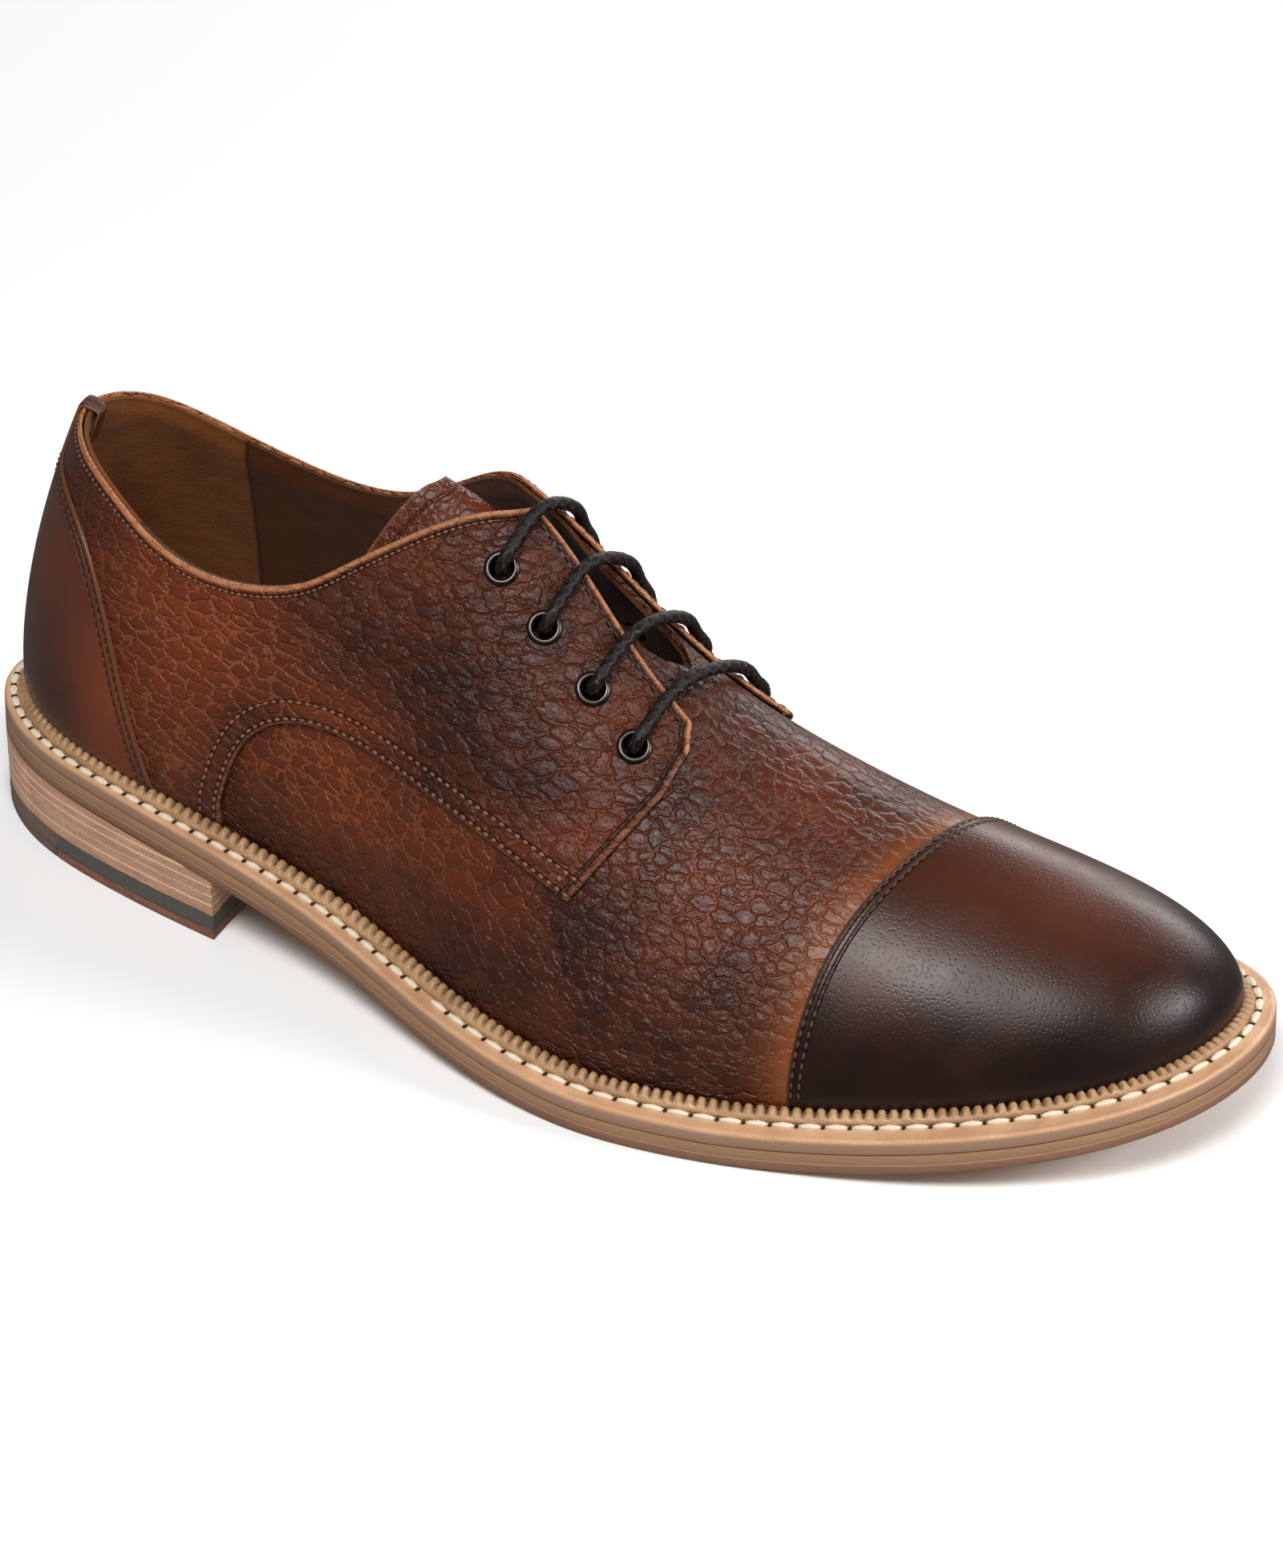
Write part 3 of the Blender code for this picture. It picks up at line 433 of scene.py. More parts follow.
TOP_LINE = [
    # x, lateral z, medial z
    (8.0, 99.5, 99.5),
    (21.0, 98.0, 98.0),
    (31.0, 95.3, 95.3),
    (40.0, 92.5, 91.6),
    (53.0, 86.8, 87.6),
    (65.0, 83.2, 85.8),
    (77.0, 82.8, 85.6),
    (86.0, 84.3, 86.8),
    (95.5, 88.0, 89.8),
    (104.0, 93.8, 94.6),
    (113.0, 99.8, 100.6),
    (121.0, 104.4, 105.8),
    (131.0, 107.4, 109.4),
    (138.0, 106.6, 108.0),
    (144.0, 105.0, 101.0),
]

FACING = [
    # x, lateral gap, medial gap
    (120.0, 3.0, 3.0),
    (138.0, 1.8, 4.0),
    (160.0, 6.8, 7.0),
    (182.0, 12.0, 11.0),
    (196.0, 15.0, 14.0),
]

CAP_SEAM = [
    # y, x
    (-70.0, 223.0),
    (-48.0, 223.0),
    (-33.0, 224.6),
    (-14.0, 229.0),
    (3.0, 232.4),
    (20.0, 234.5),
    (60.0, 234.5),
]

ridge = column_spline(np.array(RIDGE, float) * (LENGTH, BALL_WIDTH, INSTEP_HEIGHT))
top_line = column_spline(TOP_LINE)
facing = column_spline(FACING)
cap_seam = column_spline(CAP_SEAM)


def ridge_slope(x):
    """Rise of the ridge for each millimetre forward."""
    return (ridge(x + 1.0) - ridge(x - 1.0))[..., 1] / 2.0


def ridge_up(x):
    """Direction straight off the ridge."""
    slope = ridge_slope(x)
    return unit(np.stack([-slope, np.zeros_like(slope), np.ones_like(slope)], -1))


def rib(s, t):
    """Point on the upper's outer face: s runs round the feather line, t from there up to the ridge."""
    s, t = np.broadcast_arrays(np.asarray(s, float), np.asarray(t, float))
    row = edge(s)
    into = inward(s)
    foot_plan = row[..., :2] + into * row[..., 2:3]
    foot = np.concatenate([foot_plan, (sole_z(foot_plan[..., 0]) + WELT_TOP)[..., None]], -1)
    station = np.minimum(row[..., 3], FAN_X)
    crest = np.concatenate([station[..., None], ridge(station)], -1)
    slope = ridge_slope(station)
    lean = np.radians(row[..., 4:5])
    up = np.concatenate([-into * np.sin(lean), np.cos(lean)], -1)
    out = (foot - crest)[..., :2]
    level = np.concatenate([out, out[..., :1] * slope[..., None]], -1)
    wall_turn = foot + up * row[..., 5:6] * (crest - foot)[..., 2:3]
    crown_turn = crest + level * row[..., 6:7]
    t = t[..., None]
    u = 1 - t
    return u ** 3 * foot + 3 * u * u * t * wall_turn + 3 * u * t * t * crown_turn + t ** 3 * crest


def skin(s, t, offset):
    """Point at an offset from the upper's outer face, outward where the offset is positive."""
    s, t = np.broadcast_arrays(np.asarray(s, float), np.asarray(t, float))
    near = np.clip(t, 0.002, 0.98)
    across = rib(s + NUDGE, near) - rib(s - NUDGE, near)
    upward = rib(s, near + RIB_NUDGE) - rib(s, near - RIB_NUDGE)
    out = unit(np.cross(across, upward))
    top = ridge_up(np.minimum(edge(s)[..., 3], FAN_X))
    share = np.clip((t - CREST_START) / (1 - CREST_START), 0, 1)[..., None]
    out = unit(out * (1 - share) + top * share)
    return rib(s, t) + out * np.asarray(offset, float)[..., None]


def rib_at(side, x):
    """Loop place of the rib whose ridge station is x, on the lateral or the medial side."""
    scan = np.linspace(0, TOE, 3000) if side == "lateral" else medial_scan
    return np.interp(x, edge(scan)[:, 3], scan)


def turning(test, before, after):
    """Share of each rib at which a test turns true between one share and another."""
    every = np.arange(len(before))
    for _ in range(3):
        steps = before[:, None] + (after - before)[:, None] * np.linspace(0, 1, 17)
        k = np.maximum(np.argmax(test(steps), axis=1), 1)
        before, after = steps[every, k - 1], steps[every, k]
    return after


def on_ribs(s, t, offset=0.0):
    """Places along several ribs at once, as separate x, y and z."""
    s = s[:, None]
    return np.moveaxis(skin(s, t, offset) if np.any(offset) else rib(s, t), -1, 0)


def rib_end(s, closed_vamp):
    """Share of each rib that is left below the collar, and below the facing's edge at the throat."""
    s = np.mod(np.atleast_1d(s), 1.0)
    medial = (s > TOE)[:, None]
    station = np.minimum(edge(s)[:, 3], FAN_X)[:, None]
    in_throat = (FACING[0][0] - THROAT_LEAD < station) & (station < FACING[-1][0])

    def over(t):
        x, y, z = on_ribs(s, t)
        collar = np.where(medial, top_line(x)[..., 1], top_line(x)[..., 0])
        gaps = facing(np.clip(x, FACING[0][0], FACING[-1][0]))
        gap = np.where(medial, gaps[..., 1], gaps[..., 0])
        if closed_vamp:
            gap = gap * np.sqrt(np.clip((VAMP_POINT_X - x) / VAMP_NOTCH, 0, 1))
        above = (x < TOP_LINE[-1][0]) & (z > collar)
        return above | (in_throat & (np.abs(y - ridge(x)[..., 0]) < gap))

    steps = np.broadcast_to(np.linspace(0.2, 1, 201), (len(s), 201))
    hit = over(steps)
    k = np.maximum(np.argmax(hit, axis=1), 1)
    return np.where(hit.any(1), turning(over, steps[0, k - 1], steps[0, k]), 1.0)


def rib_rise(s, rise):
    """Share of each rib at a height above the welt."""
    scan = np.broadcast_to(np.linspace(0, 0.4, 121), (len(s), 121))
    x, y, z = on_ribs(s, scan)
    return np.array([np.interp(row[0] + rise, row, scan[0]) for row in z])


def rib_pace(s, t):
    """Millimetres that one whole share of the rib is worth at a place."""
    return np.linalg.norm(rib(s, t + RIB_NUDGE) - rib(s, t - RIB_NUDGE), axis=-1) / (2 * RIB_NUDGE)


def cap_edge(t):
    """Loop places where the toe cap's seam passes a share of the ribs, lateral and medial."""
    places = []
    for side, reach in zip(SIDES, CAP_SEARCH):
        scan = np.linspace(*rib_at(side, reach), 400)
        x, y, z = rib(scan, np.full_like(scan, t)).T
        places.append(np.interp(0.0, x - cap_seam(y)[:, 0], scan))
    return places


def along_line(points, line):
    """Distance from each point to the nearest place on a line of points."""
    start, run = line[:-1], np.diff(line, axis=0)
    size = np.maximum((run ** 2).sum(-1), 1e-9)
    flat = points.reshape(-1, 3)
    nearest = np.full(len(flat), 1e9)
    for a, d, n in zip(start, run, size):
        share = np.clip((flat - a) @ d / n, 0, 1)
        nearest = np.minimum(nearest, ((flat - a - share[:, None] * d) ** 2).sum(-1))
    return np.sqrt(nearest).reshape(points.shape[:-1])


def glow(points, spots):
    """Sum of soft round patches, each with a centre, a reach and a strength."""
    total = np.zeros(points.shape[:-1])
    for centre, reach, strength in spots:
        away = ((points - np.array(centre)) / np.array(reach)) ** 2
        total += strength * np.exp(-away.sum(-1))
    return total


def sums(tree, operation, a, b=0.0, c=0.0):
    """Result of a sum on up to three values."""
    return wire(tree, "Math", {0: a, 1: b, 2: c}, operation=operation).outputs[0]


def attribute(tree, name):
    """Value that a mesh holds under a name, or nought where it holds none."""
    return wire(tree, "Attribute", attribute_name=name).outputs["Fac"]


# Pebble grain: raised cells of uneven size with fine creases between them
pebbles, pebbles_in, pebbles_out = shader_group(
    "pebble_grain",
    [("Vector", "Vector", None), ("Cells per metre", "Float", 330.0), ("Wander", "Float", 0.0030)],
    [("Height", "Float"), ("Crease", "Float"), ("Tone", "Float")])
flat_place, cells_per_metre, wander_reach = pebbles_in.outputs[:3]
RIPPLE_REACH = 0.0021


def shifted(place, per_metre, reach):
    """Place pushed about by a cloudy pattern, up to half a reach each way."""
    push = noise(pebbles, flat_place, per_metre, 2.0).outputs["Color"]
    push = wire(pebbles, "VectorMath", {0: push, 1: (0.5, 0.5, 0.5)}, operation="SUBTRACT").outputs[0]
    push = wire(pebbles, "VectorMath", {0: push, "Scale": reach}, operation="SCALE").outputs[0]
    return wire(pebbles, "VectorMath", {0: place, 1: push}).outputs[0]


def cells(scale, feature, **sockets):
    """Pattern of cells at the shifted place."""
    inputs = {"Vector": pebble_place, "Scale": scale, **sockets}
    return wire(pebbles, "TexVoronoi", inputs, feature=feature).outputs


pebble_place = shifted(shifted(flat_place, 190.0, wander_reach), 520.0, RIPPLE_REACH)
large_cells = cells(cells_per_metre, "DISTANCE_TO_EDGE")["Distance"]
small_cells = cells(sums(pebbles, "MULTIPLY", cells_per_metre, 2.3), "DISTANCE_TO_EDGE")["Distance"]
cell_tone = cells(cells_per_metre, "F1")["Color"]
dome = cells(cells_per_metre, "SMOOTH_F1", Smoothness=0.35)["Distance"]
large_rise = ramp(pebbles, large_cells, 0.0, 0.15)
small_rise = ramp(pebbles, small_cells, 0.0, 0.22)
wrinkle = noise(pebbles, pebble_place, 620.0, 5.0, 0.65).outputs["Fac"]
pebble_sum = 0.0
for part, strength in ((large_rise, 0.36), (dome, -0.52), (small_rise, 0.06), (wrinkle, 0.34)):
    pebble_sum = sums(pebbles, "MULTIPLY_ADD", part, strength, pebble_sum)
crease_mask = ramp(pebbles, large_cells, 0.015, 0.10, 1.0, 0.0)
fine_crease = ramp(pebbles, small_cells, 0.01, 0.07, 0.15, 0.0)
pebbles.links.new(pebble_sum, pebbles_out.inputs["Height"])
pebbles.links.new(sums(pebbles, "MAXIMUM", crease_mask, fine_crease), pebbles_out.inputs["Crease"])
pebbles.links.new(wire(pebbles, "SeparateColor", {0: cell_tone}).outputs[0], pebbles_out.inputs["Tone"])

# Hand burnish: wax rubbed in from dark to warm, with painted highlights along the creases and some cloud
burnish, burnish_in, burnish_out = shader_group(
    "hand_burnish",
    [("Vector", "Vector", None), ("Dark", "Color", None), ("Warm", "Color", None),
     ("Crease glint colour", "Color", None), ("Warmth", "Float", 0.5), ("Crease", "Float", 0.0),
     ("Tone", "Float", 0.5), ("Cloud", "Float", 0.13)],
    [("Colour", "Color")])
cloud = noise(burnish, burnish_in.outputs[0], 42.0, 4.0).outputs["Fac"]
cloud = sums(burnish, "MULTIPLY", ramp(burnish, cloud, 0.30, 0.70, -1.0, 1.0), burnish_in.outputs[7])
tone_shift = sums(burnish, "MULTIPLY", sums(burnish, "SUBTRACT", burnish_in.outputs[6], 0.5), 0.12)
warm_share = sums(burnish, "ADD", sums(burnish, "ADD", burnish_in.outputs[4], cloud), tone_shift)
warm_share.node.use_clamp = True
waxed = blend(burnish, warm_share, burnish_in.outputs[1], burnish_in.outputs[2])
burnish.links.new(blend(burnish, burnish_in.outputs[5], waxed, burnish_in.outputs[3]),
                  burnish_out.inputs["Colour"])

# Cut edge: the paler raw leather at a panel's rim, and the furrow that a row of stitches pulls in, darkened
# with painted shade
cut_edge, cut_in, cut_out = shader_group(
    "cut_edge",
    [("Colour", "Color", None), ("Edge colour", "Color", None), ("Edge distance", "Float", 50.0),
     ("Edge width", "Float", 0.7), ("Row", "Float", 1.2), ("Second row", "Float", NO_ROW),
     ("Furrow width", "Float", 0.55), ("Furrow shade", "Float", 0.35)],
    [("Colour", "Color"), ("Furrow", "Float")])


def apart(tree, a, b):
    """How far one value is from another."""
    return sums(tree, "ABSOLUTE", sums(tree, "SUBTRACT", a, b))


def furrow(row):
    """Dip at a row's distance from the edge."""
    share = sums(cut_edge, "DIVIDE", apart(cut_edge, cut_in.outputs[2], row), cut_in.outputs[6])
    return ramp(cut_edge, share, 0.25, 1.0, 1.0, 0.0)


furrows = sums(cut_edge, "MAXIMUM", furrow(cut_in.outputs[4]), furrow(cut_in.outputs[5]))
rim_share = sums(cut_edge, "DIVIDE", cut_in.outputs[2], cut_in.outputs[3])
rim = ramp(cut_edge, rim_share, 0.55, 1.15, 1.0, 0.0)
furrow_shade = sums(cut_edge, "MULTIPLY", furrows, cut_in.outputs[7])
# painted shade: the stitch furrow is darkened where shade falls in it
shaded = blend(cut_edge, furrow_shade, cut_in.outputs[0], FURROW_SHADOW)
cut_edge.links.new(blend(cut_edge, rim, shaded, cut_in.outputs[1]), cut_out.inputs["Colour"])
cut_edge.links.new(furrows, cut_out.inputs["Furrow"])


def grain_leather(name, cells, angles, scale, depth, edges=()):
    """Pebbled leather, burnished by its warmth value, with some cut edges.

    Each edge has its distance value, colour, width and two rows of stitches."""
    made, tree, shader = finish(name, roughness=0.4, specular=0.3)
    place = turned(tree, angles, scale)
    grain = place_group(tree, pebbles, {"Vector": place, "Cells per metre": cells})
    smoothness = attribute(tree, "smooth")
    roughness_left = sums(tree, "SUBTRACT", 1.0, smoothness)
    crease = sums(tree, "MULTIPLY", grain["Crease"], roughness_left)
    warmth = attribute(tree, "warmth")
    # painted highlight: crease rims made lighter, as the lamps' glints would make them, in dim and warm
    # zones
    crease_glint_colour = blend(tree, ramp(tree, warmth, 0.15, 0.50), CREASE_GLINT_DIM, CREASE_GLINT_WARM)
    crease_glint_share = sums(tree, "MULTIPLY", crease, ramp(tree, warmth, 0.15, 0.60, 0.14, 0.32))
    waxed = place_group(tree, burnish, {
        "Vector": turned(tree), "Dark": BURNISH_DARK, "Warm": BURNISH_WARM, "Crease glint colour": crease_glint_colour,
        "Warmth": warmth, "Crease": crease_glint_share, "Tone": grain["Tone"]})
    colour = blend(tree, attribute(tree, "pale"), waxed["Colour"], PALE_TAN)
    height = sums(tree, "MULTIPLY", grain["Height"], sums(tree, "MULTIPLY_ADD", roughness_left, 0.85, 0.15))
    for value, edge_colour, width, row, second_row in edges:
        rim = place_group(tree, cut_edge, {
            "Colour": colour, "Edge colour": edge_colour, "Edge distance": attribute(tree, value),
            "Edge width": width, "Row": row, "Second row": second_row})
        colour = rim["Colour"]
        height = sums(tree, "SUBTRACT", height, sums(tree, "MULTIPLY", rim["Furrow"], 0.9))
    dress(tree, shader, colour, ramp(tree, grain["Crease"], 0.0, 1.0, 0.34, 0.42), height, depth)
    return made


vamp_leather = grain_leather("vamp_leather", cells=300.0, angles=(0, -28, 0), scale=(0.75, 1.0, 1.15),
                             depth=0.75)

ring = np.r_[lateral_s, medial_s[-2:0:-1], lateral_s[0] + 1.0]
upper_ends = rib_end(ring, True)
end_places = rib(ring, upper_ends)
trim = COLLAR_TRIM * np.clip((TRIM_END_X - end_places[:, 0]) / TRIM_FADE, 0, 1)
upper_low = rib_rise(ring, JOINT_GAP)
upper_top = np.where(upper_ends < 1, upper_ends - trim / rib_pace(ring, upper_ends), 1.0)
share = np.linspace(0, 1, UPPER_ROWS + 1)
upper_t = upper_low[:, None] + (upper_top - upper_low)[:, None] * share
upper_points = rib(ring[:, None], upper_t)

seam_t = np.linspace(0.0, 1.0, 60)
seam_sides = np.array([cap_edge(t) for t in seam_t])
seam_line = np.r_[rib(seam_sides[:, 0], seam_t), rib(seam_sides[:, 1], seam_t)[::-1]]
pale_band = np.clip(1.0 - along_line(upper_points, seam_line) / PALE_REACH, 0, 1) ** PALE_FALL
VAMP_GLOW = [
    # centre, reach, strength
    ((98.0, -40.0, 48.0), (26.0, 30.0, 16.0), 0.42),
    ((135.0, -46.0, 44.0), (26.0, 30.0, 12.0), 0.24),
    ((205.0, -30.0, 50.0), (26.0, 30.0, 15.0), 0.24),
    ((200.0, 20.0, 60.0), (25.0, 25.0, 25.0), 0.15),
]
WORN_SMOOTH = [((210.0, 0.0, 62.0), (30.0, 16.0, 14.0), 0.55)]
vamp_layers = {
    "warmth": VAMP_WARMTH + glow(upper_points, VAMP_GLOW),
    "pale": PALE_SHARE * pale_band,
    "smooth": np.clip(0.9 * pale_band + glow(upper_points, WORN_SMOOTH), 0, 1),
}
vamp = sheet("vamp", upper_points, vamp_layers, vamp_leather, "upper", UPPER_THICK)

# Lining: thin tan calf glued inside the upper and turned out to meet the quarters at the collar.
# Behind the seam its flesh side faces in as a suede heel grip, in front of it the smooth side does.
LINING_THICK = 0.9
LINING_BELOW = 0.35
LINING_OFFSET = -UPPER_THICK - 0.05
FLARE = 1.2
FLARE_REACH = 4.5
GRIP_END = 51.0
GRIP_DARK = (0.098, 0.031, 0.0072)
GRIP_LIGHT = (0.142, 0.046, 0.0110)
SMOOTH_DARK = (0.050, 0.0145, 0.0028)
SMOOTH_LIGHT = (0.066, 0.0195, 0.0040)
GRIP_SEAM = (0.016, 0.005, 0.002)


def clouds(tree, scale, detail=3.0, stretch=(1, 1, 1)):
    """Cloudy pattern on a piece, with so many clouds to the metre."""
    return noise(tree, turned(tree, scale=stretch), scale, detail).outputs["Fac"]


def eased(share):
    """Share that starts and ends softly."""
    return share ** 2 * (3 - 2 * share)


lining_suede, tree, shader = finish("lining_suede", roughness=0.9, specular=0.1, sheen_weight=0.06,
                                    sheen_roughness=0.5)
nap = pored(tree, 1500.0)
nap_cloud = ramp(tree, clouds(tree, 120.0, 4.0, (1, 1, 2.5)), 0.25, 0.75)
grip_colour = blend(tree, nap_cloud, GRIP_DARK, GRIP_LIGHT)
smooth_colour = blend(tree, nap_cloud, SMOOTH_DARK, SMOOTH_LIGHT)
past_seam = attribute(tree, "past_grip")
lining_colour = blend(tree, ramp(tree, past_seam, -0.3, 0.3), grip_colour, smooth_colour)
seam_shade = ramp(tree, sums(tree, "ABSOLUTE", past_seam), 0.2, 0.9, 0.7, 0.0)
dress(tree, shader, blend(tree, seam_shade, lining_colour, GRIP_SEAM),
      ramp(tree, past_seam, -0.3, 0.3, 0.95, 0.62), nap["Height"], 0.10)
lining_top = np.where(upper_ends < 1, upper_ends - LINING_BELOW / rib_pace(ring, upper_ends), 1.0)
lining_share = np.r_[np.linspace(0, 0.9, 28), np.linspace(0.91, 1, 9)]
lining_t = upper_low[:, None] + (lining_top - upper_low)[:, None] * lining_share
under_top = (lining_top[:, None] - lining_t) * rib_pace(ring[:, None], lining_t)
flare = np.clip(1.0 - under_top / FLARE_REACH, 0, 1) * np.clip(trim / COLLAR_TRIM, 0, 1)[:, None]
lining_points = skin(ring[:, None], lining_t, LINING_OFFSET + FLARE * eased(flare))
layers = {"past_grip": lining_points[..., 0] - GRIP_END}
lining = sheet("lining", lining_points, layers, lining_suede, "upper", LINING_THICK)

# Toe cap: smooth calf laid over the vamp's front, skived at its back edge and sewn down with two rows.
# It is polished almost black at the sides and keeps a red-brown glow behind the seam.
CAP_TOP = 1.45
CAP_THICK = 1.0
CAP_FOOT = (0.004, 0.012)
CAP_ROWS = 46
CAP_COLUMNS = 26
FAN_COLUMNS = 16
ROLL_STEPS = np.array([0.0, 0.12, 0.3, 0.6, 1.1])
TUCK_OFFSET = 0.2
TUCK_START = 0.6
TUCK_RISE = 3.2
CAP_WARMTH = 0.03
CAP_DARK = (0.0085, 0.0030, 0.0024, 1)
CAP_WARM = (0.105, 0.024, 0.008, 1)
BROWN_CUT = (0.05, 0.022, 0.012, 1)
BROWN_THREAD = ((0.115, 0.055, 0.030), (0.045, 0.022, 0.014))
CAP_STITCH_ROWS = (0.95, 2.6)
CAP_STITCH_FOOT = 0.07
THREAD_SINK = 0.05
# reach and drop of a rolled edge, then pitch, length, width and height of a stitch
CAP_ROLL = (0.7, 0.7)
CAP_STITCH = (2.3, 1.5, 0.75, 0.55)


def rolled(away, reach, drop):
    """How far a panel's face falls at a distance from its cut edge."""
    share = np.clip(1 - away / reach, 0, 1)
    return drop * (1 - np.sqrt(np.clip(1 - share ** 2, 0, 1)))


def tucked(points, s, top):
    """Offset of a panel that thins out behind the welt's bead."""
    rise = points[..., 2] - rib(s, np.zeros_like(s))[..., 2]
    share = np.clip((rise - TUCK_START) / TUCK_RISE, 0, 1)
    return TUCK_OFFSET + (top - TUCK_OFFSET) * eased(share)


def smooth_leather(name, dark, warm, row=NO_ROW, second_row=NO_ROW, edge_colour=BROWN_CUT):
    """Smooth polished calf, burnished by its warmth value, with one cut edge."""
    made, tree, shader = finish(name, roughness=0.4, specular=0.3)
    skin_pores = pored(tree, 1150.0)
    waxed = place_group(tree, burnish, {
        "Vector": turned(tree), "Dark": dark, "Warm": warm, "Crease glint colour": dark,
        "Warmth": attribute(tree, "warmth"), "Tone": skin_pores["Mottle"], "Cloud": 0.06})
    rim = place_group(tree, cut_edge, {
        "Colour": waxed["Colour"], "Edge colour": edge_colour, "Edge distance": attribute(tree, "edge"),
        "Row": row, "Second row": second_row, "Furrow shade": 0.75})
    height = sums(tree, "SUBTRACT", sums(tree, "MULTIPLY", skin_pores["Height"], 0.10), rim["Furrow"])
    rough = ramp(tree, skin_pores["Mottle"], 0.3, 0.7, 0.32, 0.42)
    dress(tree, shader, rim["Colour"], rough, height, 0.35)
    return made


def inset_line(s, t, distance):
    """Places moved off a line on the upper, to the left of its run seen from outside."""
    run = np.gradient(rib(s, t), axis=0)
    across = (rib(s + NUDGE, t) - rib(s - NUDGE, t)) / (2 * NUDGE)
    upward = (rib(s, t + NUDGE) - rib(s, t - NUDGE)) / (2 * NUDGE)
    left = unit(np.cross(np.cross(across, upward), run))
    aa, ab, bb, ra, rb = ((u * v).sum(-1) for u, v in (
        (across, across), (across, upward), (upward, upward), (across, left), (upward, left)))
    det = aa * bb - ab * ab
    return s + distance * (ra * bb - rb * ab) / det, t + distance * (rb * aa - ra * ab) / det


def stitch_line(s, t, offset):
    """Points of a stitch line on the upper and the outward direction at each."""
    points = skin(s, t, offset)
    return points, skin(s, t, np.asarray(offset) + 1.0) - points


def paces(points):
    """Distance walked along a line of points, at each of them."""
    return np.r_[0, np.cumsum(np.linalg.norm(np.diff(points, axis=0), axis=1))]


def sew(line, pitch, length, width, height, start=0.5):
    """Places of thread loops along a line of points: one matrix for each, in metres."""
    points, outs = line
    walked = paces(points)
    at = np.arange(start * pitch, walked[-1] - 0.4 * pitch, pitch)
    here, ahead = (np.array([np.interp(at + step, walked, axis) for axis in points.T]).T
                   for step in (-0.3, 0.3))
    out = np.array([np.interp(at, walked, axis) for axis in outs.T]).T
    run = unit(ahead - here)
    side = unit(np.cross(out, run))
    return np.stack([side * width * MM / 2, np.cross(run, side) * height * MM / 2,
                     run * length * MM / 2, to_shoe((here + ahead) / 2)], -1)


def sewn_row(s, t, inset, offset, stitch):
    """Thread loops along a line on the upper that is first moved off to its left."""
    return sew(stitch_line(*inset_line(s, t, inset), offset), *stitch)


def stitching(name, rows, material):
    """All thread loops of some rows as one piece."""
    form = bmesh.new()
    bmesh.ops.create_uvsphere(form, u_segments=6, v_segments=4, radius=1.0)
    form.verts.index_update()
    corners = np.array([(*vert.co, 1.0) for vert in form.verts])
    faces = [[vert.index for vert in face.verts] for face in form.faces]
    form.free()
    turns = np.concatenate(rows)
    places = np.einsum("nij,vj->nvi", turns, corners).reshape(-1, 3)
    mesh = bpy.data.meshes.new(name)
    every = range(0, len(places), len(corners))
    mesh.from_pydata(places.tolist(), [], [[first + k for k in face] for first in every for face in faces])
    bm = bmesh.new()
    bm.from_mesh(mesh)
    bpy.data.meshes.remove(mesh)
    return piece(name, bm, material)


def thread(name, light, dark, roughness=0.6):
    """Waxed sewing thread with a fine twist."""
    made, tree, shader = finish(name, roughness, specular=0.15)
    twist = wire(tree, "TexWave", {"Vector": turned(tree, (35, 40, 20)), "Scale": 900.0,
                                   "Distortion": 1.5})
    shade = clouds(tree, 500.0)
    dress(tree, shader, blend(tree, shade, dark, light), height=twist.outputs["Fac"], depth=0.06)
    return made


cap_t = np.r_[CAP_FOOT, np.linspace(0.03, 1.0, CAP_ROWS)]
cap_sides = np.array([cap_edge(t) for t in cap_t])
seam_x = edge(cap_sides)[..., 3]
seam_x[-1] = seam_x[-1].mean()
halves = []
for column, side in enumerate(SIDES):
    reach = FAN_X - seam_x[:, column]
    close = ROLL_STEPS / reach[:, None]
    spread = close[:, -1:] + (1 - close[:, -1:]) * np.linspace(0, 1, CAP_COLUMNS + 1)[1:]
    stations = seam_x[:, column, None] + reach[:, None] * np.c_[close, spread]
    places = rib_at(side, stations)
    fan_places = places[:, -1:] + (TOE - places[:, -1:]) * np.linspace(0, 1, FAN_COLUMNS + 1)[1:]
    halves.append(np.c_[places, fan_places])
cap_s = np.c_[halves[0], halves[1][:, -2::-1]].T
cap_base = rib(cap_s, cap_t)
cap_line = np.r_[rib(cap_sides[:, 0], cap_t), rib(cap_sides[:, 1], cap_t)[::-1]]
cap_away = along_line(cap_base, cap_line)
cap_offset = tucked(cap_base, cap_s, CAP_TOP) - rolled(cap_away, *CAP_ROLL)
CAP_GLOW = [
    # centre, reach, strength
    ((238.0, -8.0, 52.0), (14.0, 20.0, 14.0), 0.26),
    ((236.0, -34.0, 40.0), (10.0, 12.0, 12.0), 0.30),
    ((264.0, 2.0, 46.0), (26.0, 24.0, 14.0), 0.46),
    ((240.0, 24.0, 48.0), (16.0, 16.0, 14.0), 0.35),
]
cap_layers = {"warmth": CAP_WARMTH + glow(cap_base, CAP_GLOW), "edge": cap_away}
cap_leather = smooth_leather("cap_leather", CAP_DARK, CAP_WARM, *CAP_STITCH_ROWS)
cap_points = skin(cap_s, cap_t, cap_offset)
sheet("toe_cap_leather", cap_points, cap_layers, cap_leather, "toe_cap", CAP_THICK)

brown_thread = thread("brown_thread", *BROWN_THREAD)
cap_stitches = []
line_s = np.r_[cap_sides[:, 0], cap_sides[::-1, 1]]
line_t = np.r_[cap_t, cap_t[::-1]]
for row in CAP_STITCH_ROWS:
    row_s, row_t = inset_line(line_s, line_t, -row)
    kept = row_t > CAP_STITCH_FOOT
    cap_row = stitch_line(row_s[kept], row_t[kept], CAP_TOP - THREAD_SINK)
    cap_stitches.append(sew(cap_row, *CAP_STITCH))
stitching("toe_cap_stitching", cap_stitches, brown_thread)

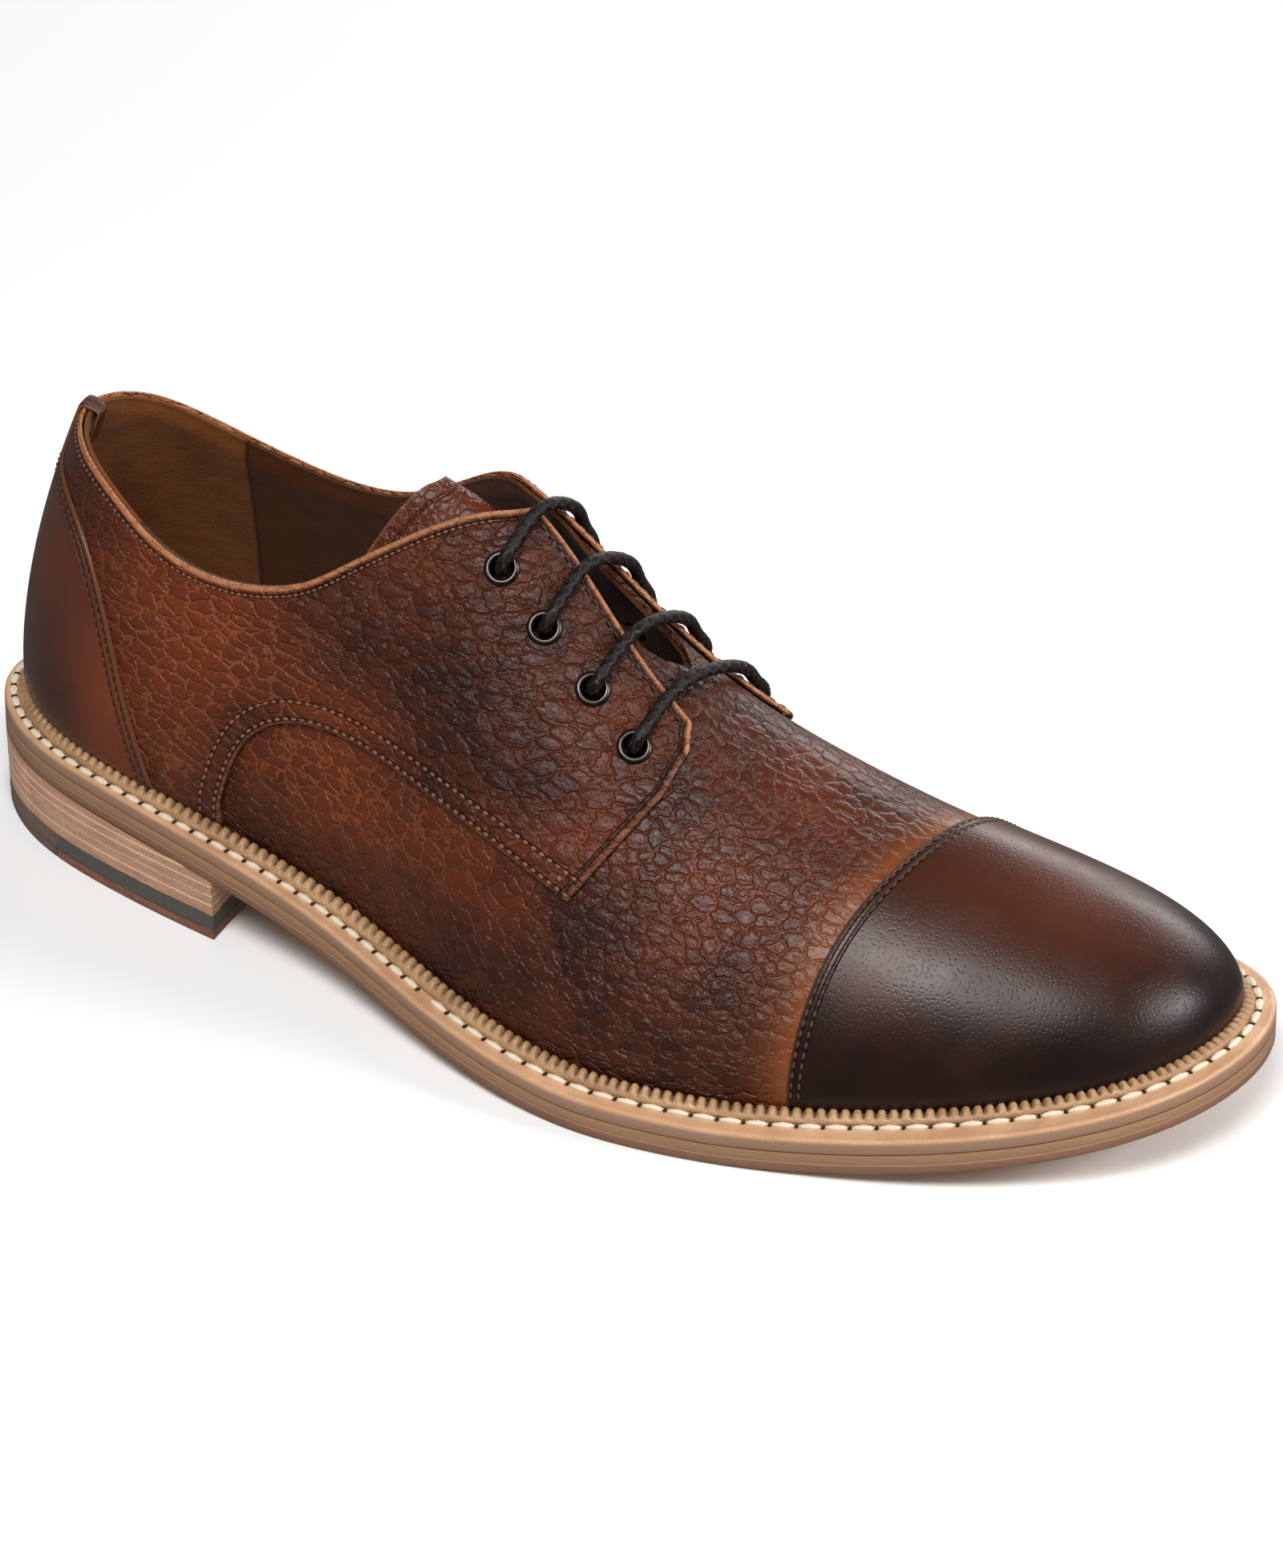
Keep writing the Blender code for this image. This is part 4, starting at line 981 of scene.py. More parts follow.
# Quarters: the two pebbled side panels, laid over the vamp and sewn down along an arch with two rows.
# Their facings carry the eyelets, and their front edges and top line are folded, inked and topstitched.
OVERLAY_GAP = 0.35
QUARTER_THICK = 1.2
QUARTER_TOP = OVERLAY_GAP + QUARTER_THICK
QUARTER_ROWS = 36
QUARTER_COLUMNS = 190
LEAST_COLUMN = 0.0006
BACK_GAP = 0.0003
PANEL_FOOT = 0.5
UNDER_GAP = 0.1
QUARTER_WARMTH = 0.08
SALMON_CUT = (0.36, 0.138, 0.058, 1)
RED_CUT = (0.13, 0.042, 0.018, 1)
PALE_THREAD = ((0.290, 0.140, 0.088), (0.085, 0.034, 0.020))
DARK_THREAD = ((0.075, 0.045, 0.034), (0.022, 0.014, 0.011))
HOLE_RADIUS = 2.75
PUNCH_LENGTH = 12.0
ARCH_ROWS = (1.2, 5.0)
TACK_INSET = 4.4
FRONT_ROW = 1.9
TOP_ROW = 2.2
FACING_START_X = 133.0
FACING_PITCH = 2.7
COLLAR_PITCH = 1.6
TOP_STITCH_FILL = 0.62
TOP_STITCH_SIZE = (0.65, 0.55)
THREAD_TOP = QUARTER_TOP + 0.05
# reach and drop of a rolled edge, then pitch, length, width and height of a stitch
QUARTER_ROLL = (0.75, 0.7)
ARCH_STITCH = (2.2, 1.35, 0.85, 0.75)
FRONT_STITCH = (2.6, 1.9, 0.7, 0.6)
TACK_STITCH = (1.0, 1.2, 1.3, 0.85)
# x and z of the outline's corners past the collar, and of its foot under the counter
PAST_COLLAR = [(184.0, 140.0), (-9.0, 140.0), (-9.0, 84.5)]
UNDER_COUNTER = [(57.0, 0.0)]
COUNTER_LAP = 2.0
TIP_SEARCH = (160.0, 182.0)

QUARTER_SEAM = [
    # x, z, forward shift of the medial quarter
    (74.5, 0.0, 0.0),
    (75.5, 30.0, 0.0),
    (79.0, 41.0, 0.0),
    (83.5, 49.5, 0.0),
    (91.0, 55.4, 1.0),
    (102.0, 57.7, 2.0),
    (124.0, 55.4, 3.0),
    (152.0, 49.3, 4.0),
    (170.0, 43.4, 5.0),
    (178.4, 57.0, 6.0),
    (182.0, 63.0, 7.0),
    (183.2, 65.8, 7.0),
    (183.0, 68.4, 7.0),
    (181.2, 71.4, 7.0),
    (178.8, 76.0, 6.0),
    (174.0, 82.0, 6.0),
]
TIP_ROW = 8

COUNTER_EDGE = [
    # x, z
    (59.0, 22.0),
    (57.0, 28.0),
    (50.0, 48.0),
    (46.0, 60.0),
    (41.0, 71.0),
    (34.0, 80.5),
    (26.0, 85.5),
    (8.0, 86.5),
]

EYELETS = np.array([
    # lateral x, medial x, lateral reach, medial reach
    (137.0, 139.5, 14.0, 14.0),
    (148.5, 151.5, 17.0, 16.5),
    (161.0, 164.0, 19.3, 18.0),
    (172.5, 177.0, 22.3, 20.0),
])

QUARTER_GLOW = [
    # centre, reach, strength
    ((70.0, -30.0, 76.0), (28.0, 60.0, 16.0), 0.50),
    ((62.0, -30.0, 45.0), (16.0, 60.0, 22.0), 0.46),
    ((100.0, -40.0, 62.0), (34.0, 60.0, 9.0), 0.26),
    ((165.0, -40.0, 50.0), (18.0, 60.0, 9.0), 0.30),
    ((172.0, -30.0, 74.0), (14.0, 60.0, 14.0), 0.20),
    ((128.0, -20.0, 98.0), (22.0, 60.0, 8.0), 0.14),
]


def smooth_line(points, count):
    """Even run of points along a curve through a few."""
    points = np.asarray(points, float)
    chord = paces(points)
    return spline(chord, points)(np.linspace(0, chord[-1], count))


def within(outline, x, z):
    """Which side-view places lie inside an outline."""
    hit = np.zeros(x.shape, bool)
    for (x0, z0), (x1, z1) in zip(outline, np.roll(outline, -1, axis=0)):
        slant = (x1 - x0) / (z1 - z0) if z1 != z0 else 0.0
        hit ^= ((z0 > z) != (z1 > z)) & (x < x0 + (z - z0) * slant)
    return hit


def span(s, outline, offset, ceiling):
    """Lowest and highest share of each rib inside a side-view outline, below a ceiling."""
    def held(t):
        x, y, z = on_ribs(s, t, offset)
        return within(outline, x, z)

    low = rib_rise(s, PANEL_FOOT)
    steps = low[:, None] + (ceiling - low)[:, None] * np.linspace(0, 1, 200)
    inside = held(steps)
    every = np.arange(len(s))
    first = np.argmax(inside, axis=1)
    last = inside.shape[1] - 1 - np.argmax(inside[:, ::-1], axis=1)
    before, after = np.maximum(first - 1, 0), np.minimum(last + 1, inside.shape[1] - 1)
    low = np.where(first > 0, turning(held, steps[every, before], steps[every, first]), low)
    high = turning(held, steps[every, after], steps[every, last])
    high = np.where(last < inside.shape[1] - 1, high, ceiling)
    return np.where(inside.any(1)[:, None], np.c_[low, high], np.nan)


def paced(spans, first, last, count, kept=()):
    """Rib places that follow a panel's edge at an even pace, and the shares between which it lies."""
    s = np.linspace(first, last, count)
    for _ in range(3):
        ends = spans(s)
        held = ~np.isnan(ends[:, 0])
        s, ends = s[held], ends[held]
        lines = [rib(s, ends[:, 0]), rib(s, ends[:, 1])]
        steps = [np.linalg.norm(np.diff(line, axis=0), axis=1) for line in lines]
        walked = np.r_[0, np.cumsum(np.maximum(*steps))]
        s = np.interp(np.linspace(0, walked[-1], count), walked, s)
    for place in kept:
        s[np.argmin(np.abs(s - place))] = place
    chosen = [s[0]]
    for place in s[1:]:
        if abs(place - chosen[-1]) > LEAST_COLUMN or place in kept:
            chosen.append(place)
    s = np.array(chosen)
    ends = spans(s)
    held = ~np.isnan(ends[:, 0])
    return s[held], ends[held]


def panel_rows(ends, pace, count, floor=None):
    """Shares of the ribs for a panel's rows, close together at both of its edges.

    With a floor, the rows between keep their places over it, and stop at a lower edge that climbs."""
    low, high = ends.T
    length = np.maximum((high - low) * pace, 0.2)
    close = np.minimum(ROLL_STEPS / length[:, None], np.linspace(0, 0.32, len(ROLL_STEPS)))
    middle = np.linspace(0, 1, count + 2)[1:-1]
    inner = close[:, -1:] + (1 - 2 * close[:, -1:]) * middle
    shares = np.c_[close, inner, 1 - close[:, ::-1]]
    rows = low[:, None] + (high - low)[:, None] * shares
    if floor is not None:
        edges = len(ROLL_STEPS)
        even = floor[:, None] + (high - floor)[:, None] * middle
        rows[:, edges:-edges] = np.clip(even, rows[:, edges - 1:edges], rows[:, -edges:1 - edges])
    return rows


def locate(side, x, reach):
    """Loop places and rib shares of points at x and at a distance out from the ridge."""
    sign = -1 if side == "lateral" else 1
    s = rib_at(side, x)
    t = np.full(len(x), 0.75)
    for _ in range(12):
        here = rib(s, t)
        miss_x, miss_y = x - here[:, 0], ridge(x)[:, 0] + sign * reach - here[:, 1]
        xs, ys = ((rib(s + NUDGE, t) - here) / NUDGE).T[:2]
        xt, yt = ((rib(s, t + NUDGE) - here) / NUDGE).T[:2]
        det = xs * yt - xt * ys
        s = s + np.clip((miss_x * yt - miss_y * xt) / det, -0.02, 0.02)
        t = np.clip(t + np.clip((xs * miss_y - ys * miss_x) / det, -0.1, 0.1), 0.05, 0.999)
    return s, t


def facing_frame(seat, out):
    """Matrix that stands an upright piece on the facing."""
    turn = np.eye(4)
    toe_ward = unit(np.cross([0.0, 1.0, 0.0], out))
    turn[:3, 0] = toe_ward
    turn[:3, 1] = np.cross(out, toe_ward)
    turn[:3, 2] = out
    turn[:3, 3] = to_shoe(seat)
    return Matrix(turn.tolist())


def pierce(made, places):
    """Punch the eyelet holes of one side through a piece."""
    bm = bmesh.new()
    for s, t, seat, out in places:
        bmesh.ops.create_cone(bm, cap_ends=True, segments=24, radius1=HOLE_RADIUS * MM,
                              radius2=HOLE_RADIUS * MM, depth=PUNCH_LENGTH * MM,
                              matrix=facing_frame(seat - 1.5 * out, out))
    punch = stand("punch", mesh_of("punch", bm))
    hole = made.modifiers.new("holes", "BOOLEAN")
    hole.operation = "DIFFERENCE"
    hole.solver = "EXACT"
    hole.object = punch
    settle(made)
    bpy.data.objects.remove(punch)


eyelets = {}
for column, side in enumerate(SIDES):
    s, t = locate(side, EYELETS[:, column], EYELETS[:, 2 + column])
    seats = skin(s, t, QUARTER_TOP)
    eyelets[side] = list(zip(s, t, seats, skin(s, t, QUARTER_TOP + 1.0) - seats))

quarter_leather = grain_leather(
    "quarter_leather", cells=250.0, angles=(0, -28, 0), scale=(0.72, 1.0, 1.40), depth=1.0,
    edges=[("arch", RED_CUT, 0.7, *ARCH_ROWS), ("front", RED_CUT, 1.0, FRONT_ROW, NO_ROW),
           ("rim", SALMON_CUT, 1.25, TOP_ROW, NO_ROW)])
pale_thread = thread("pale_thread", *PALE_THREAD, roughness=0.45)
dark_thread = thread("dark_thread", *DARK_THREAD)
counter_line = smooth_line(COUNTER_EDGE, 40)
seam_table = np.array(QUARTER_SEAM, float)
pale_rows = []
dark_rows = []
for side, sign, shift in (("lateral", 1, 0.0), ("medial", -1, 1.0)):
    seam = seam_table[:, :2] + np.c_[seam_table[:, 2] * shift, np.zeros(len(seam_table))]
    arch = smooth_line(seam[1:TIP_ROW + 1], 60)
    front = smooth_line(seam[TIP_ROW:], 30)
    rear = counter_line[::-1] - COUNTER_LAP
    outline = np.r_[seam[:1], arch, front[1:], PAST_COLLAR, rear, UNDER_COUNTER]

    def quarter_span(place):
        return span(place, outline, QUARTER_TOP, rib_end(place, False))

    first = BACK_GAP if side == "lateral" else 1 - BACK_GAP
    last = rib_at(side, FACING[-1][0])
    near_tip = np.linspace(*rib_at(side, TIP_SEARCH), 200)
    tip_places = skin(near_tip, quarter_span(near_tip)[:, 0], QUARTER_TOP)[:, [0, 2]]
    tip_s = near_tip[int(np.nanargmin(np.linalg.norm(tip_places - seam[TIP_ROW], axis=1)))]
    s, ends = paced(quarter_span, first, last, QUARTER_COLUMNS, [tip_s])
    s, ends = s[::sign], ends[::sign]
    t = panel_rows(ends, rib_pace(s, ends.mean(1)), QUARTER_ROWS, rib_rise(s, PANEL_FOOT))
    grid_s = s[:, None]
    base = rib(grid_s, t)
    low_line, top_edge = rib(s, ends[:, 0]), rib(s, ends[:, 1])
    past_tip = (s - tip_s) * sign
    on_arch = (low_line[:, 0] > seam[1, 0] - 0.5) & (past_tip <= 1e-9)
    on_front = past_tip >= -1e-9
    corner = -1 if side == "lateral" else 0
    corner_line = rib(s[corner], np.linspace(*ends[corner], 9)[::sign])
    front_line = [low_line[on_front], corner_line][::sign]
    away = {"arch": along_line(base, low_line[on_arch]), "rim": along_line(base, top_edge),
            "front": along_line(base, np.concatenate(front_line))}
    nearest = np.minimum(np.minimum(away["arch"], away["front"]), away["rim"])
    offset = tucked(base, grid_s, QUARTER_TOP) - rolled(nearest, *QUARTER_ROLL)
    layers = {"warmth": QUARTER_WARMTH + glow(base * (1, sign, 1), QUARTER_GLOW), **away}
    quarter = sheet("quarter_leather_" + side, skin(grid_s, t, offset), layers, quarter_leather,
                    "quarter_" + side, QUARTER_THICK - UNDER_GAP)
    for punched in (quarter, vamp, lining):
        pierce(punched, eyelets[side])

    for row in ARCH_ROWS:
        pale_rows.append(sewn_row(s[on_arch], ends[on_arch, 0], row, THREAD_TOP, ARCH_STITCH))
    dark_rows.append(sewn_row(s[on_front], ends[on_front, 0], FRONT_ROW, THREAD_TOP, FRONT_STITCH))
    row_s, row_t = inset_line(s[on_front], ends[on_front, 0], TACK_INSET)
    from_arch = along_line(rib(row_s, row_t), low_line[on_arch])
    tack = (from_arch > ARCH_ROWS[0]) & (from_arch < ARCH_ROWS[1])
    pale_rows.append(sew(stitch_line(row_s[tack], row_t[tack], THREAD_TOP), *TACK_STITCH))
    row_s, row_t = inset_line(s, ends[:, 1], -TOP_ROW)
    on_facing = rib(row_s, row_t)[:, 0] > FACING_START_X
    for part, rows, pitch in ((on_facing, dark_rows, FACING_PITCH), (~on_facing, pale_rows, COLLAR_PITCH)):
        line = stitch_line(row_s[part], row_t[part], THREAD_TOP)
        rows.append(sew(line, pitch, TOP_STITCH_FILL * pitch, *TOP_STITCH_SIZE))
stitching("quarter_stitching", pale_rows, pale_thread)
stitching("facing_stitching", dark_rows, dark_thread)

# Counter: smooth calf round the heel, laid over the quarters and sewn along its front with two rows.
# A narrow strip of the same calf covers the quarters' joint above it and folds in over the collar.
COUNTER_TOP = 2.35
COUNTER_THICK = 0.85
COUNTER_ROWS = (1.3, 3.2)
COUNTER_GRID = (130, 30)
COUNTER_WARMTH = 0.10
COUNTER_DARK = (0.024, 0.0085, 0.0058, 1)
COUNTER_WARM = (0.190, 0.036, 0.006, 1)
COUNTER_CUT = (0.10, 0.035, 0.016, 1)
STRIP_HALF_WIDTH = 6.5
STRIP_TOP = 2.6
STRIP_INNER = 2.7
STRIP_THICK = 0.6
STRIP_LENGTH = 13.5
STRIP_INSIDE = 9.0
STRIP_BROW = 0.3
STRIP_FOLD = 1.1
STRIP_ROW = 1.3
STRIP_WARMTH = 0.35
STRIP_DARK = (0.020, 0.009, 0.007, 1)
STRIP_WARM = (0.135, 0.038, 0.014, 1)
STRIP_CUT = (0.20, 0.075, 0.032, 1)
LOOP_LENGTH = 650.0
BEHIND_X = -20.0
# reach and drop of a rolled edge, then pitch, length, width and height of a stitch
COUNTER_ROLL = (0.9, 0.75)
STRIP_ROLL = (0.8, 0.4)
COUNTER_STITCH = (2.2, 1.4, 0.75, 0.6)
COUNTER_GLOW = [
    # centre, reach, strength
    ((48.0, -25.0, 45.0), (13.0, 40.0, 26.0), 0.62),
    ((20.0, -20.0, 70.0), (18.0, 30.0, 16.0), 0.28),
]
counter_outline = np.r_[[(BEHIND_X, 0.0), (COUNTER_EDGE[0][0], 0.0)], counter_line,
                        [(BEHIND_X, COUNTER_EDGE[-1][1])]]


def counter_span(place):
    return span(place, counter_outline, COUNTER_TOP, rib_end(place, False))


front_scan = np.linspace(0.02, 0.22, 300)
counter_reach = []
for sign in (-1, 1):
    covered = ~np.isnan(counter_span(sign * front_scan)[:, 0])
    counter_reach.append(sign * front_scan[covered][-1])
s, ends = paced(counter_span, *counter_reach, COUNTER_GRID[0])
t = panel_rows(ends, rib_pace(s, ends.mean(1)), COUNTER_GRID[1])
grid_s = s[:, None]
base = rib(grid_s, t)
counter_away = along_line(base, rib(s, ends[:, 1]))
offset = tucked(base, grid_s, COUNTER_TOP) - rolled(counter_away, *COUNTER_ROLL)
counter_leather = smooth_leather("counter_leather", COUNTER_DARK, COUNTER_WARM, *COUNTER_ROWS, COUNTER_CUT)
mirror = base * np.where(base[..., 1:2] > 0, (1, -1, 1), 1)
layers = {"warmth": COUNTER_WARMTH + glow(mirror, COUNTER_GLOW), "edge": counter_away}
sheet("heel_counter_leather", skin(grid_s, t, offset), layers, counter_leather,
      "heel_counter", COUNTER_THICK)
counter_stitches = [sewn_row(s, ends[:, 1], -row, COUNTER_TOP, COUNTER_STITCH) for row in COUNTER_ROWS]
stitching("counter_stitching", counter_stitches, brown_thread)

strip_across = np.linspace(-1, 1, 13) * STRIP_HALF_WIDTH
strip_s = strip_across / LOOP_LENGTH
fold = np.linspace(0, np.pi, 13)[1:]
outer_rows, inner_rows = 14, 8
fold_half = (STRIP_TOP + STRIP_INNER) / 2
strip_section = np.r_[np.full(outer_rows, STRIP_TOP), STRIP_TOP - fold_half * (1 - np.cos(fold)),
                      np.full(inner_rows, -STRIP_INNER)]
strip_t = []
for place, collar in zip(strip_s, rib_end(strip_s, False)):
    pace = rib_pace(place, collar)
    brow = collar - STRIP_BROW / pace
    outer = np.linspace(collar - STRIP_LENGTH / pace, brow, outer_rows)
    over = brow + STRIP_FOLD * np.sin(fold) / pace
    inner = np.linspace(brow, collar - STRIP_INSIDE / pace, inner_rows + 1)[1:]
    strip_t.append(np.r_[outer, over, inner])
strip_t = np.array(strip_t)
strip_away = np.broadcast_to((STRIP_HALF_WIDTH - np.abs(strip_across))[:, None], strip_t.shape)
strip_offset = strip_section - rolled(strip_away, *STRIP_ROLL) * np.sign(strip_section)
layers = {"warmth": np.full(strip_t.shape, STRIP_WARMTH), "edge": strip_away}
strip_leather = smooth_leather("strip_leather", STRIP_DARK, STRIP_WARM, STRIP_ROW, edge_colour=STRIP_CUT)
sheet("back_strip_leather", skin(strip_s[:, None], strip_t, strip_offset), layers, strip_leather,
      "back_strip", STRIP_THICK)

# Tongue: a leaf of fine pebbled calf, sewn in under the vamp at its lower end and free up the throat.
# Its edge is bound off with one row of stitches.
TONGUE_THICK = 2.0
TONGUE_TOP_X = 118.0
TONGUE_END_X = 200.0
TONGUE_HALF_WIDTH = 24.0
TONGUE_SLANT = 22.0
TONGUE_NARROWING = 0.1
TONGUE_COLUMNS = 29
TONGUE_ROWS = 45
TONGUE_WARMTH = 0.25
TONGUE_ROW = 3.6
TONGUE_STITCH = (2.2, 1.4, 0.7, 0.6)
WALL = 2.0
TONGUE_DEPTH = np.array([
    # x, middle, edges
    (100.0, 7.2, 0.9),
    (120.0, 7.2, 1.5),
    (134.0, 6.8, 4.8),
    (165.0, 5.2, 5.0),
    (184.0, 5.0, 5.0),
    (200.0, 0.4, 0.4),
])
tongue_points = []
for u in np.linspace(-1, 1, TONGUE_COLUMNS):
    side = "lateral" if u < 0 else "medial"
    x = np.linspace(TONGUE_END_X, TONGUE_TOP_X - TONGUE_SLANT * abs(u) ** 1.5, TONGUE_ROWS)
    narrow = (x - TONGUE_TOP_X) / (TONGUE_END_X - TONGUE_TOP_X)
    s, t = locate(side, x, np.maximum(abs(u) * TONGUE_HALF_WIDTH * (1 - TONGUE_NARROWING * narrow), 0.3))
    depth, drop = (np.interp(x, TONGUE_DEPTH[:, 0], TONGUE_DEPTH[:, k]) for k in (1, 2))
    under = skin(s, t, -WALL)
    crown = ridge_up(x)
    down = unit(crown + ((rib(s, t) - under) / WALL - crown) * abs(u))
    tongue_points.append(under - down * (depth + (drop - depth) * u * u)[:, None])
tongue_points = np.array(tongue_points)
tongue_rim = np.r_[tongue_points[0], tongue_points[1:, -1], tongue_points[-1, ::-1][1:]]
tongue_away = along_line(tongue_points, tongue_rim)
tongue_leather = grain_leather("tongue_leather", cells=420.0, angles=(0, 0, 0), scale=(1, 1, 1), depth=0.4,
                               edges=[("edge", RED_CUT, 0.7, TONGUE_ROW, NO_ROW)])
layers = {"warmth": np.full(tongue_away.shape, TONGUE_WARMTH), "edge": tongue_away}
sheet("tongue_leaf", tongue_points, layers, tongue_leather, "tongue", TONGUE_THICK)
tongue_row = np.r_[tongue_points[2, :-4], tongue_points[2:-2, -4], tongue_points[-3, -5::-1]]
tongue_stitches = sew((tongue_row, ridge_up(tongue_row[:, 0])), *TONGUE_STITCH)
stitching("tongue_stitching", [tongue_stitches], dark_thread)

# Welt: a strip of natural tan leather sewn round the upper, with a rounded lip and a raised storm bead
# whose crest is notched into small teeth.  Cream waxed thread joins it to the outsole in long stitches.
BEAD_IN = -0.35
BEAD_WIDTH = 3.8
TOOTH_PITCH = 2.6
TOOTH_DEPTH = 1.25
TOOTH_GAP = 0.42
TOOTH_SLANT = 0.22
TOOTH_CROWN = 0.10
WELT_REACH = 15.0
WELT_LIGHT = (0.60, 0.355, 0.205)
WELT_DARK = (0.48, 0.255, 0.130)
WELT_WAX = (0.255, 0.140, 0.085)
BEAD_LIGHT = (0.44, 0.255, 0.125)
BEAD_DARK = (0.28, 0.145, 0.062)
HOLLOW_SHADOW = (0.045, 0.018, 0.007)
JOINT_PALE = (0.74, 0.54, 0.39)
CREAM_THREAD = ((0.80, 0.70, 0.55), (0.62, 0.50, 0.36))
SLIT_SHADE = ((0.060, 0.028, 0.012), (0.020, 0.009, 0.004))
WELT_STITCH_AWAY = 0.85
WIDE_STITCH_X = 140.0
WIDE_PITCH = 5.6
CLOSE_PITCH = 4.9
LONG_STITCH_FILL = 0.86
LONG_STITCH_SIZE = (1.9, 1.5)
SLIT_SIZE = (0.9, 1.7, 0.6)
WELT_COLUMNS = 520
BEAD_COLUMNS = 1720
STITCH_PLACES = 1400

edge_scan = np.linspace(0, 1, 4001)
edge_walked = paces(edge(edge_scan)[:, :2])


def even_ring(count):
    """Loop places at an even pace round the sole's edge, the last one meeting the first."""
    return np.interp(np.linspace(0, edge_walked[-1], count + 1), edge_walked, edge_scan)


def ringed(rows, s):
    """Closed strip round the shoe from rows of (inset, height, measured from the feather line)."""
    return np.array([edge_ring(s, *row) for row in [*rows, rows[0]]]).transpose(1, 0, 2)


def tan_leather(name, light, dark, streak, depth, side=None, lines=()):
    """Natural vegetable-tanned leather with streaks, a waxed side and pale joint lines at some heights."""
    made, tree, shader = finish(name, roughness=0.5, coat_weight=0.08, coat_roughness=0.4)
    streaks = clouds(tree, streak, 5.0, (0.25, 0.25, 2.2))
    blotch = clouds(tree, 70.0, 3.0)
    share = ramp(tree, sums(tree, "MULTIPLY_ADD", streaks, 0.6, sums(tree, "MULTIPLY", blotch, 0.4)),
                 0.35, 0.65)
    skin_pores = pored(tree, 1400.0)
    height = sums(tree, "ADD", skin_pores["Height"], streaks)
    colour = blend(tree, share, dark, light)
    if side is not None:
        colour = blend(tree, attribute(tree, "side"), colour, side)
    for line in lines:
        away = apart(tree, wire(tree, "SeparateXYZ", {0: turned(tree)}).outputs[2], line * MM)
        joint = ramp(tree, away, 0.10 * MM, 0.32 * MM, 0.75, 0.0)
        colour = blend(tree, joint, colour, JOINT_PALE)
    # painted shade: colour darkened where the mesh marks a hollow
    colour = blend(tree, attribute(tree, "hollow_shade"), colour, HOLLOW_SHADOW)
    dress(tree, shader, colour, ramp(tree, share, 0.0, 1.0, 0.56, 0.42), height, depth)
    return made


welt_leather = tan_leather("welt_leather", WELT_LIGHT, WELT_DARK, streak=320.0, depth=0.06, side=WELT_WAX)
WELT_SECTION = [
    # inset, height, measured from the feather line, share of the waxed side's colour
    (WELT_REACH, WELT_LOW, False, 1.0),
    (0.5, WELT_LOW, False, 1.0),
    (0.12, WELT_LOW + 0.12, False, 1.0),
    (0.0, WELT_LOW + 0.45, False, 1.0),
    (0.0, WELT_TOP - 1.05, False, 0.9),
    (0.08, WELT_TOP - 0.55, False, 0.35),
    (0.32, WELT_TOP - 0.14, False, 0.0),
    (0.75, WELT_TOP, False, 0.0),
    (1.2, WELT_TOP - 0.04, False, 0.0),
    (1.7, WELT_TOP - 0.14, False, 0.0),
    (BEAD_IN - BEAD_WIDTH - 0.6, WELT_TOP - 0.15, True, 0.0),
    (BEAD_IN - BEAD_WIDTH + 0.4, WELT_TOP, True, 0.0),
    (WELT_REACH, WELT_TOP, False, 0.0),
]
welt_points = ringed([row[:3] for row in WELT_SECTION], even_ring(WELT_COLUMNS))[::-1]
welt_side = [row[3] for row in [*WELT_SECTION, WELT_SECTION[0]]]
bm = woven(welt_points, {"side": np.broadcast_to(welt_side, welt_points.shape[:2])})
piece("welt_strip", bm, welt_leather, "welt")

BEAD_SECTION = [
    # share of the bead's width from its outer foot, height, share of the tooth's notch
    (0.00, -0.10, 0.0),
    (0.03, 0.45, 0.0),
    (0.10, 0.95, 0.0),
    (0.22, 1.38, 0.10),
    (0.36, 1.75, 0.45),
    (0.50, 2.08, 0.85),
    (0.64, 2.32, 1.0),
    (0.78, 2.40, 1.0),
    (0.90, 2.25, 1.0),
    (0.99, 1.85, 0.9),
    (1.00, 0.90, 0.3),
    (1.00, -0.10, 0.0),
]
bead_s = even_ring(BEAD_COLUMNS)
teeth = round(edge_walked[-1] / TOOTH_PITCH)
bead_rows, bead_shade = [], []
for place, height, notch in [*BEAD_SECTION, BEAD_SECTION[0]]:
    phase = np.linspace(0, teeth, len(bead_s)) + TOOTH_SLANT * place
    from_gap = np.abs(phase - np.round(phase)) * TOOTH_PITCH
    gap = notch * np.exp(-(from_gap / TOOTH_GAP) ** 2)
    crown = TOOTH_CROWN * notch * np.cos(2 * np.pi * phase)
    inset = BEAD_IN - BEAD_WIDTH * (1 - place) + 0.25 * gap * (0.6 - place)
    rise = height - TOOTH_DEPTH * gap - crown
    bead_rows.append(edge_ring(bead_s, inset, WELT_TOP + rise, True))
    # painted shade: the notches between teeth and the bead's foot are darkened
    bead_shade.append(np.maximum(0.8 * gap, 0.75 * (height < 0.2)))
bm = woven(np.array(bead_rows).transpose(1, 0, 2), {"hollow_shade": np.array(bead_shade).T})
bead_leather = tan_leather("bead_leather", BEAD_LIGHT, BEAD_DARK, streak=420.0, depth=0.10)
piece("storm_bead", bm, bead_leather, "welt")

cream_thread = thread("cream_thread", *CREAM_THREAD, roughness=0.55)
slit_shade = thread("awl_slit_shade", *SLIT_SHADE, roughness=0.8)
stitch_s = even_ring(STITCH_PLACES)
welt_row = edge_ring(stitch_s, BEAD_IN - BEAD_WIDTH - WELT_STITCH_AWAY, WELT_TOP, True)
upright = np.broadcast_to((0.0, 0.0, 1.0), welt_row.shape)
front_run = np.flatnonzero(welt_row[:, 0] > WIDE_STITCH_X)
rear_run = np.r_[front_run[-1]:len(stitch_s) - 1, 0:front_run[0] + 1]
long_stitches, slit_shadows = [], []
for run, pitch in ((front_run, WIDE_PITCH), (rear_run, CLOSE_PITCH)):
    line = welt_row[run], upright[run]
    long_stitches.append(sew(line, pitch, LONG_STITCH_FILL * pitch, *LONG_STITCH_SIZE))
    # painted shade: small dark loops set in the awl slits between the stitches
    slit_shadows.append(sew(line, pitch, *SLIT_SIZE, start=1.0))
stitching("welt_stitching", long_stitches, cream_thread)
stitching("welt_awl_slit_shadows", slit_shadows, slit_shade)

